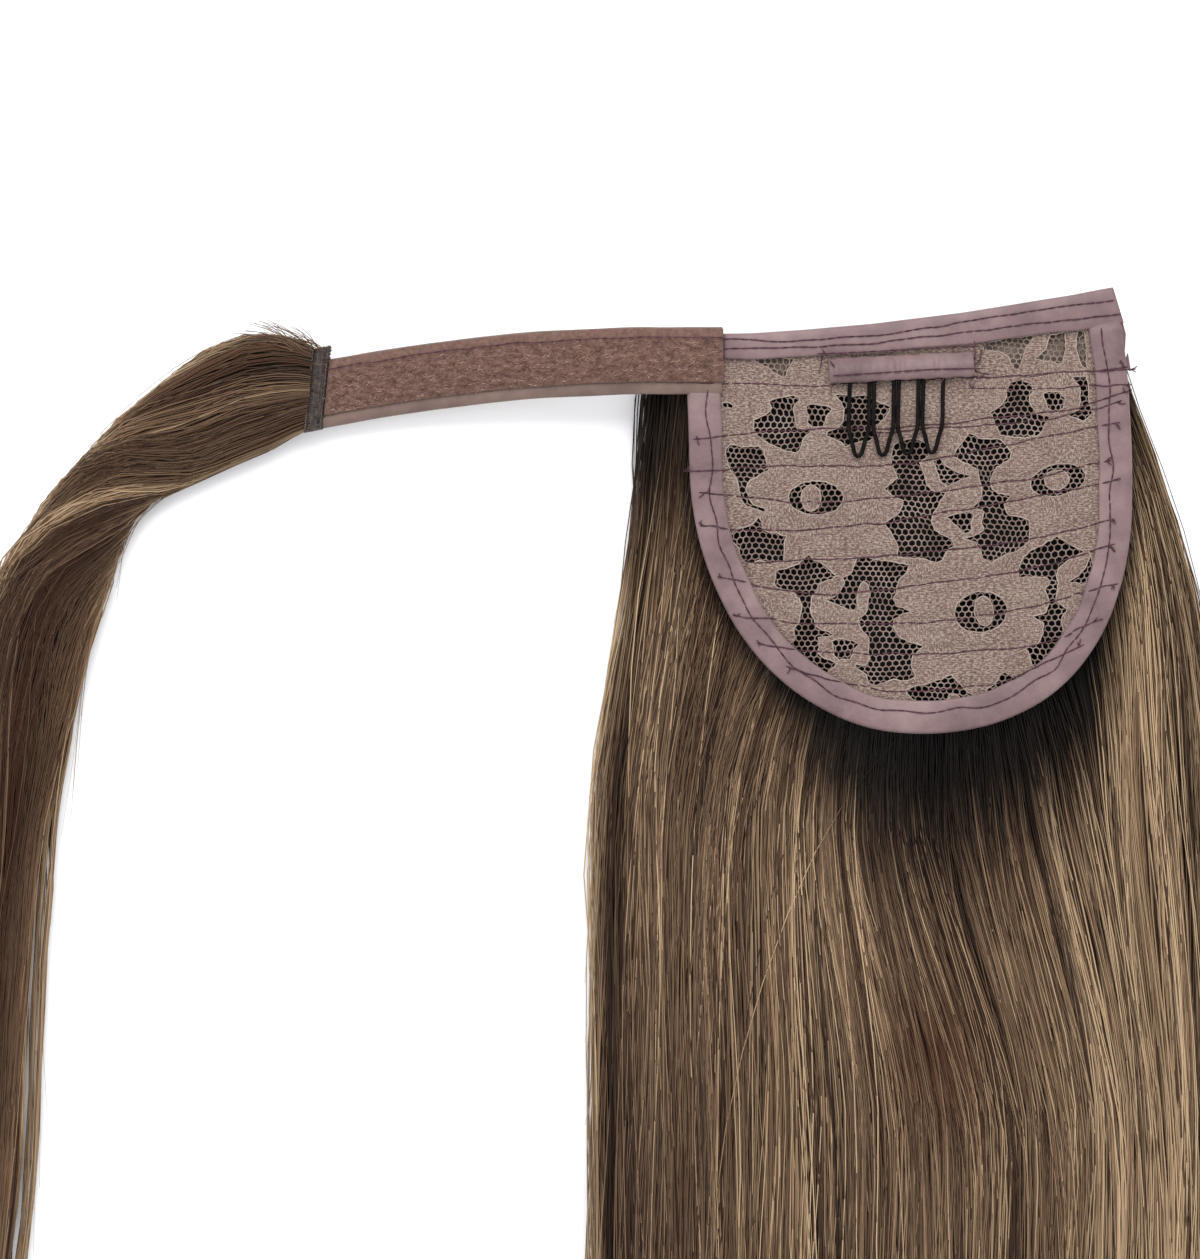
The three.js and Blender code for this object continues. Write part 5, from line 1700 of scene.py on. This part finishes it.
# From behind, the hair of the first row shows under the pad's upper edge: it comes down to the floor there
row_rng = np.random.default_rng(57)
ROW_STRANDS = 620
steps = np.linspace(0, 1, 7)[None, :]
row_x = row_rng.uniform(-52.5, 50.5, ROW_STRANDS)[:, None]
bulge = row_rng.uniform(0.0, 0.8, ROW_STRANDS)[:, None]
x = row_x + row_rng.normal(0, 1.3, ROW_STRANDS)[:, None] * steps + 0.2 * np.sin(steps * 5 + row_x)
y = HAIR_TOP - 1.5 + bulge * np.sin(np.pi * steps) + 0.2 * steps
z = mix(row_rng.uniform(8.0, 10.2, ROW_STRANDS)[:, None], 0.35, steps**1.2)
routes = np.stack([x, y, z], axis=2)
tone = np.clip(row_rng.normal(0.45, 0.15, ROW_STRANDS), 0, 1)[:, None] + 0 * x
# Painted shade: darker at the top under the pad's edge, lighter towards the floor.
values = {"tone": tone, "warm": 0.15 + 0 * x, "shade": 0.35 + 0.5 * steps + 0 * x}
radii = 0.26 * np.ones_like(x)
tubes("first_row_of_hair", routes, radii, strand_hair, "brown_hair", sides=3, values=values)

# %% [markdown]
# ## The wrapping strand
# A lock as wide as the strap is stitched to the strap's end. It leaves to the left, turns over itself once
# and hangs down beside the ponytail. Its strands run on the skin of an oval tube along the CAD's route, and
# turn about it where the lock turns over, so that upper strands cross lower ones darkened with painted shade.

# %% Course of the wrapping strand
# Outer and inner edge in the photograph's pixels, then the height of the lock in millimetres
WRAP_EDGES = [
    ((313, 346), (306, 427), 5.0),
    ((296, 339), (288, 435), 6.8),
    ((275, 334), (268, 446), 8.2),
    ((240, 335), (231, 461), 9.2),
    ((204, 349), (206, 473), 9.8),
    ((165, 375), (184, 484), 10.0),
    ((128, 406), (157, 497), 10.0),
    ((96, 437), (134, 511), 10.0),
    ((68, 468), (122, 533), 9.8),
    ((42, 503), (112, 560), 9.6),
    ((14, 540), (102, 587), 9.4),
    ((-8, 578), (92, 617), 9.1),
    ((-20, 622), (83, 650), 8.8),
    ((-27, 675), (75, 692), 8.6),
    ((-33, 735), (67, 746), 8.4),
    ((-37, 800), (54, 805), 8.2),
    ((-40, 900), (42, 903), 7.8),
    ((-42, 1000), (35, 1002), 7.4),
    ((-43, 1100), (31, 1101), 7.0),
    ((-45, 1202), (25, 1202), 6.2),
    ((-50, 1298), (12, 1298), 5.0),
    ((-56, 1405), (-9, 1405), 4.0),
    ((-61, 1506), (-27, 1506), 2.9),
    ((-56, 1590), (-37, 1590), 1.9),
]
outer_edge = photo(*[outer for outer, _, _ in WRAP_EDGES])
inner_edge = photo(*[inner for _, inner, _ in WRAP_EDGES])
half = np.linalg.norm(inner_edge - outer_edge, axis=1) / 2
wrap_line = curved(
    np.column_stack(
        [
            (outer_edge + inner_edge) / 2,
            half,
            [high for _, _, high in WRAP_EDGES],
            (inner_edge - outer_edge) / half[:, None] / 2,
        ]
    ),
    2.0,
)
wrap_normal = wrap_line[:, 4:] / np.linalg.norm(wrap_line[:, 4:], axis=1)[:, None]
wrap_share = np.linspace(0, 1, len(wrap_line))
wrap_lift = np.maximum(0, 6.2 - wrap_line[:, 3] / 2) * (1 - smooth(wrap_share / 0.17))
strap_tip, _, tip_side = strap_place(np.array([STRAP_LEVEL + STRAP_CURVED]))
tip_side = tip_side[0]
tip_along = np.array([-tip_side[1], tip_side[0]])


def on_wrap(share, angle, size):
    """A place on the oval skin of the wrapping strand: 0 is the inner edge and a quarter turn the top."""
    columns = [wrap_line[:, 0], wrap_line[:, 1], wrap_line[:, 2], wrap_line[:, 3], wrap_lift]
    x, y, wide, high, lift = (np.interp(share, wrap_share, column) for column in columns)
    nx = np.interp(share, wrap_share, wrap_normal[:, 0])
    ny = np.interp(share, wrap_share, wrap_normal[:, 1])
    reach = wide * size * np.cos(angle)
    z = high * (0.5 + 0.5 * size * np.sin(angle)) + lift
    return np.column_stack([x + nx * reach, y + ny * reach, z])


print("wrapping strand:", round(len(wrap_line) * 2.0), "mm along its route")

# %% Wrapping strand's core and strands
core_rings = []
for share in np.linspace(0.004, 0.93, 90):
    angle = np.linspace(0, 2 * np.pi, 25)[:-1]
    core_rings.append(on_wrap(np.full(24, share), angle, np.full(24, 0.8 - 0.18 * smooth(share, 0.3, 0.5))))
# Painted shade: the core stays dark.
core_values = {"tone": 0.25, "warm": 0.2, "shade": 0.3}
solid("wrap_depths", core_rings, core_hair, "brown_hair", "wrap_strand", values=core_values)


def wrap_batch(count, locks, seed, width, steps=24):
    """Routes, radii and tones of the strands on the skin of the wrapping lock."""
    random = np.random.default_rng(seed)
    lock = np.arange(count) % locks
    lock_angle = np.sort(random.uniform(0, 2 * np.pi, locks))[lock][:, None]
    lock_tone = np.clip(random.normal(0.47, 0.15, locks), 0.1, 0.9)[lock][:, None]
    lock_phase = random.uniform(0, 2 * np.pi, locks)[lock][:, None]
    lock_level = random.uniform(0, 1, locks)[lock][:, None]
    lock_warm = random.uniform(0.05, 0.4, locks)[lock][:, None]
    end = 1 - 0.2 * random.uniform(0, 1, count)[:, None] ** 1.5
    share = 0.001 + np.linspace(0, 1, steps)[None, :] ** 1.4 * (end - 0.001)
    turned = 2.6 * smooth(share, 0.08, 0.28) + 1.0 * smooth(share, 0.4, 1.0)
    start_angle = lock_angle + random.normal(0, 0.15, count)[:, None]
    angle = start_angle + turned
    angle = angle + 0.14 * np.sin(share * 18 + lock_phase)
    size = 1.03 - 0.16 * lock_level + random.normal(0, 0.025, count)[:, None]
    size = size + 0.04 * np.sin(share * 25 + lock_phase)
    end_angle = start_angle + 3.6
    wisp = (random.uniform(0, 1, count) < 0.24)[:, None] * (np.cos(end_angle) > 0.1) * smooth(share, 0.3, 0.5)
    angle = mix(
        angle, 2 * np.pi * np.round(end_angle / (2 * np.pi)) + random.normal(0, 0.2, count)[:, None], wisp
    )
    inner = smooth(np.cos(angle), -0.2, 0.6)
    size = size - 0.36 * inner * smooth(share, 0.32, 0.5) * (1 - smooth(share, 0.85, 1.0))
    apart = random.choice([0.2, 0.4], count) + random.normal(0, 0.013, count)
    size = mix(size, 0.7 + apart[:, None] * (1 - smooth(share, 0.85, 1.0)), wisp)
    flat = on_wrap(share.ravel(), angle.ravel(), size.ravel())
    flat[:, 2] = np.maximum(flat[:, 2], 0.3)
    routes = flat.reshape(count, steps, 3)
    ripple = 0.25 * np.sin(share * 60 + np.arange(count)[:, None])
    routes[:, :, 0] += ripple * 0.6
    routes[:, :, 1] += ripple * 0.4
    thinning = np.interp(share / end, [0, 0.8, 1], [1, 0.9, 0.3])
    radii = width * random.uniform(0.7, 1.3, count)[:, None] * thinning
    # Painted light and shade in the tones: edge and the last rim term brighten the lock's edges, ridge is a
    # painted highlight along the fold, and deeper and lower strands are darkened.
    edge = np.abs(np.cos(angle)) ** 3
    from_below = smooth(-np.sin(start_angle), -0.1, 0.3)
    ridge = np.exp(-((np.angle(np.exp(1j * (start_angle - 0.15))) / 0.3) ** 2))
    tones = lock_tone + random.normal(0, 0.11, count)[:, None] + 0.16 * edge - 0.1 * lock_level
    tones = tones + 0.3 * wisp + 0.16 * ridge - 0.14 * from_below * (1 - smooth(share, 0.45, 0.7))
    # Painted shade: the lock's underside, deeper locks, the gaps at the head, and a shadow where the lower
    # layer comes out under the upper one.
    under = smooth(np.sin(angle), -0.8, 0.2)
    head = 1 - 0.6 * lock_level * (1 - smooth(share, 0.03, 0.1))
    shades = mix(0.25, 1.0, under) * mix(1.0, 0.45, lock_level) * head
    shades = shades * (1 - 0.12 * from_below * np.exp(-(((share - 0.24) / 0.07) ** 2)))
    tones = tones + 0.4 * smooth(np.abs(np.cos(angle)), 0.9, 1.0) - 0.05 * (1 - smooth(share, 0.1, 0.25))
    values = {"tone": np.clip(tones, 0, 1), "warm": lock_warm + 0 * share, "shade": np.clip(shades, 0, 1)}
    return routes, radii, values


routes, radii, values = wrap_batch(1230, 64, 61, 0.175)
tubes("wrap_strands", routes, radii, strand_hair, "brown_hair", sides=3, values=values)

# %% [markdown]
# ## Head of the wrapping strand
# The strand's ends are caught in a dense ridge of stitches at the end of the strap. A ribbed bar carries
# them, with thread wound round it.

# %% Weft head
weft_stops = ((0.3, "#1E1613"), (0.7, "#4A3E37"))
weft_thread = noisy_material("dark_sewing_thread_of_the_weft", 800.0, 3.0, *weft_stops, Roughness=0.75)

WEFT_LEVEL = 6.2
weft_rng = np.random.default_rng(71)
weft_at = strap_tip[0] + np.array([0.0, 1.5])
weft_rings = []
for step in np.linspace(0, 1, 22):
    swell = 1.75 * (0.82 + 0.18 * abs(math.sin(math.pi * step * 2.0)))
    swell *= min(1.0, 0.55 + 3.0 * min(step, 1 - step))
    middle = weft_at + tip_along * (-0.7 + step * 4.4)
    angle = np.linspace(0, 2 * np.pi, 41)[:-1]
    long_side = np.sign(np.cos(angle)) * np.abs(np.cos(angle)) ** 0.35 * 9.7
    ridge = 1 + 0.07 * np.sin(long_side * 3.4)
    up = np.sign(np.sin(angle)) * np.abs(np.sin(angle)) ** 0.7 * swell * ridge
    points = middle + (tip_side - tip_along * END_SLANT) * long_side[:, None]
    weft_rings.append(np.column_stack([points, up + WEFT_LEVEL]))
solid("weft_bar", weft_rings, weft_thread, "weft_thread", "wrap_weft")

wraps = []
for turn_at in np.linspace(-9.2, 9.2, 44):
    along_shift = weft_rng.uniform(-0.3, 0.3)
    lean = weft_rng.normal(0, 0.35)
    t = np.linspace(0, 2 * np.pi, 15)
    run = 1.65 + along_shift + 2.3 * np.cos(t)
    across = turn_at + lean * np.cos(t)
    points = weft_at + tip_along * run[:, None] + (tip_side - tip_along * END_SLANT) * across[:, None]
    wraps.append(np.column_stack([points, WEFT_LEVEL + 1.95 * np.sin(t)]))
for row in (-0.2, 1.0, 2.2, 3.5):
    across = np.linspace(-9.6, 9.6, 40)
    run = row + 0.15 * np.sin(across * 5) - END_SLANT * across
    points = weft_at + tip_along * run[:, None] + tip_side * across[:, None]
    wraps.append(np.column_stack([points, WEFT_LEVEL + 1.95 + 0.12 * np.sin(across * 9)]))
tubes("weft_threads", wraps, 0.24, weft_thread, "weft_thread", sides=5)

# %% [markdown]
# ## Loose hairs
# No hairpiece lies perfectly smooth: a few hairs stand off the edges, cross the bundle or lie on the floor.

# %% Flyaways
fly_rng = np.random.default_rng(81)
fly_routes, fly_radii, fly_tones = [], [], []


def loose_hair(points, width=0.09, tone=0.75):
    """A loose hair through a few places, thinner towards its end."""
    line = curved(points, 3.0)
    line[:, 2] = np.maximum(line[:, 2], 0.15)
    fly_routes.append(line)
    fly_radii.append(width * np.linspace(1.0, 0.5, len(line)))
    fly_tones.append(np.full(len(line), tone))


for _ in range(110):
    left_side = fly_rng.uniform() < 0.7
    edge_at = left_at if left_side else right_at
    y = fly_rng.uniform(-320, 20)
    ys = np.maximum(y - fly_rng.uniform(25, 90) * np.array([0, 0.3, 0.7, 1.0]), HAIR_TIPS + 2)
    outwards = np.array([-0.9, 0.2, 0.7, fly_rng.uniform(-0.8, 2.4)]) * (-1 if left_side else 1)
    zs = fly_rng.uniform(1.0, 5.0) * np.array([1, 1, 0.8, 0.5])
    line = np.column_stack([edge_at(ys) + outwards, ys, zs])
    loose_hair(line, fly_rng.uniform(0.06, 0.1), fly_rng.uniform(0.35, 0.85))
for _ in range(60):
    share = fly_rng.uniform(0.02, 0.8)
    angle = fly_rng.choice([0.0, math.pi]) + fly_rng.normal(0, 0.3)
    shares = share + np.array([0, 0.04, 0.09, 0.15])
    sizes = np.array([0.97, 1.04, 1.1, fly_rng.uniform(1.0, 1.35)])
    line = on_wrap(np.minimum(shares, 0.99), np.full(4, angle), sizes)
    loose_hair(line, fly_rng.uniform(0.06, 0.1), fly_rng.uniform(0.45, 0.9))
# A tuft of short ends sticks up behind the stitched head
for _ in range(44):
    start = photo((fly_rng.uniform(288, 322), fly_rng.uniform(342, 352)))[0]
    away = np.array([fly_rng.uniform(-14, -4), fly_rng.uniform(1.0, 6.5)])
    steps = np.array([0, 0.35, 0.7, 1.0])
    points = start + away * steps[:, None] + np.array([0, 0.8]) * np.sin(steps * np.pi)[:, None]
    loose_hair(
        np.column_stack([points, 8.2 + 1.2 * np.sin(steps * np.pi)]), 0.14, fly_rng.uniform(0.35, 0.75)
    )
fly_values = {
    "tone": fly_tones,
    "warm": [np.full(len(line), 0.15) for line in fly_routes],
    "shade": [np.ones(len(line)) for line in fly_routes],
}
tubes("loose_hairs", fly_routes, fly_radii, strand_hair, "brown_hair", sides=3, values=fly_values)

# %% [markdown]
# ## Cloth sizes
# Each tape is one strip of cloth. Its flat width is what goes round its section, and its length is its run.

# %% Flat sizes of the cloth
def run_of(line):
    return float(np.linalg.norm(np.diff(np.asarray(line)[:, :2], axis=0), axis=1).sum())


def declare(piece, width, length, held, rests_on, **more):
    """Prints how large a sheet was cut, in millimetres, next to half the mesh's surface."""
    half_surface = sum(face.area for face in piece.data.polygons) / MM**2 / 2
    print(f"{piece.name}: cut {width:.1f} x {length:.1f} mm, half its surface {half_surface:.0f} square mm")


lace_span = np.ptp(LACE_OUTLINE, axis=0)
tape_height = FLANGE_TOP - flange_low
band_run = run_of(band_line)
band_wide = 2 * float(band_widths.mean()) + tape_height
strap_run_mm = STRAP_LEVEL + STRAP_CURVED
declare(
    lace_piece,
    lace_span[0],
    lace_span[1],
    "stretched",
    ["binding_tape"],
    area=LACE_AREA * MM**2,
    with_pieces=[net_piece, gimp_piece],
)
declare(strip_piece, 10.0, 88.5, "laid", ["hair_depths"], area=8.4 * 88.5 * MM**2)
declare(
    binding_piece,
    2 * BINDING_WIDE + tape_height,
    run_of(edge_line) + 2 * BINDING_TUCK,
    "folded",
    ["lace_cloth"],
)
declare(
    strap_piece,
    band_wide,
    band_run + strap_run_mm,
    "folded",
    ["lace_cloth"],
    area=(band_wide * band_run + 16 * strap_run_mm) * MM**2,
)
declare(tape_piece, 12.9, strap_run_mm, "laid", ["strap_and_band"])
declare(patch_piece, 10.0, 2 * PATCH_HALF, "folded", ["wire_comb"], area=6.8 * 2 * PATCH_HALF * MM**2)
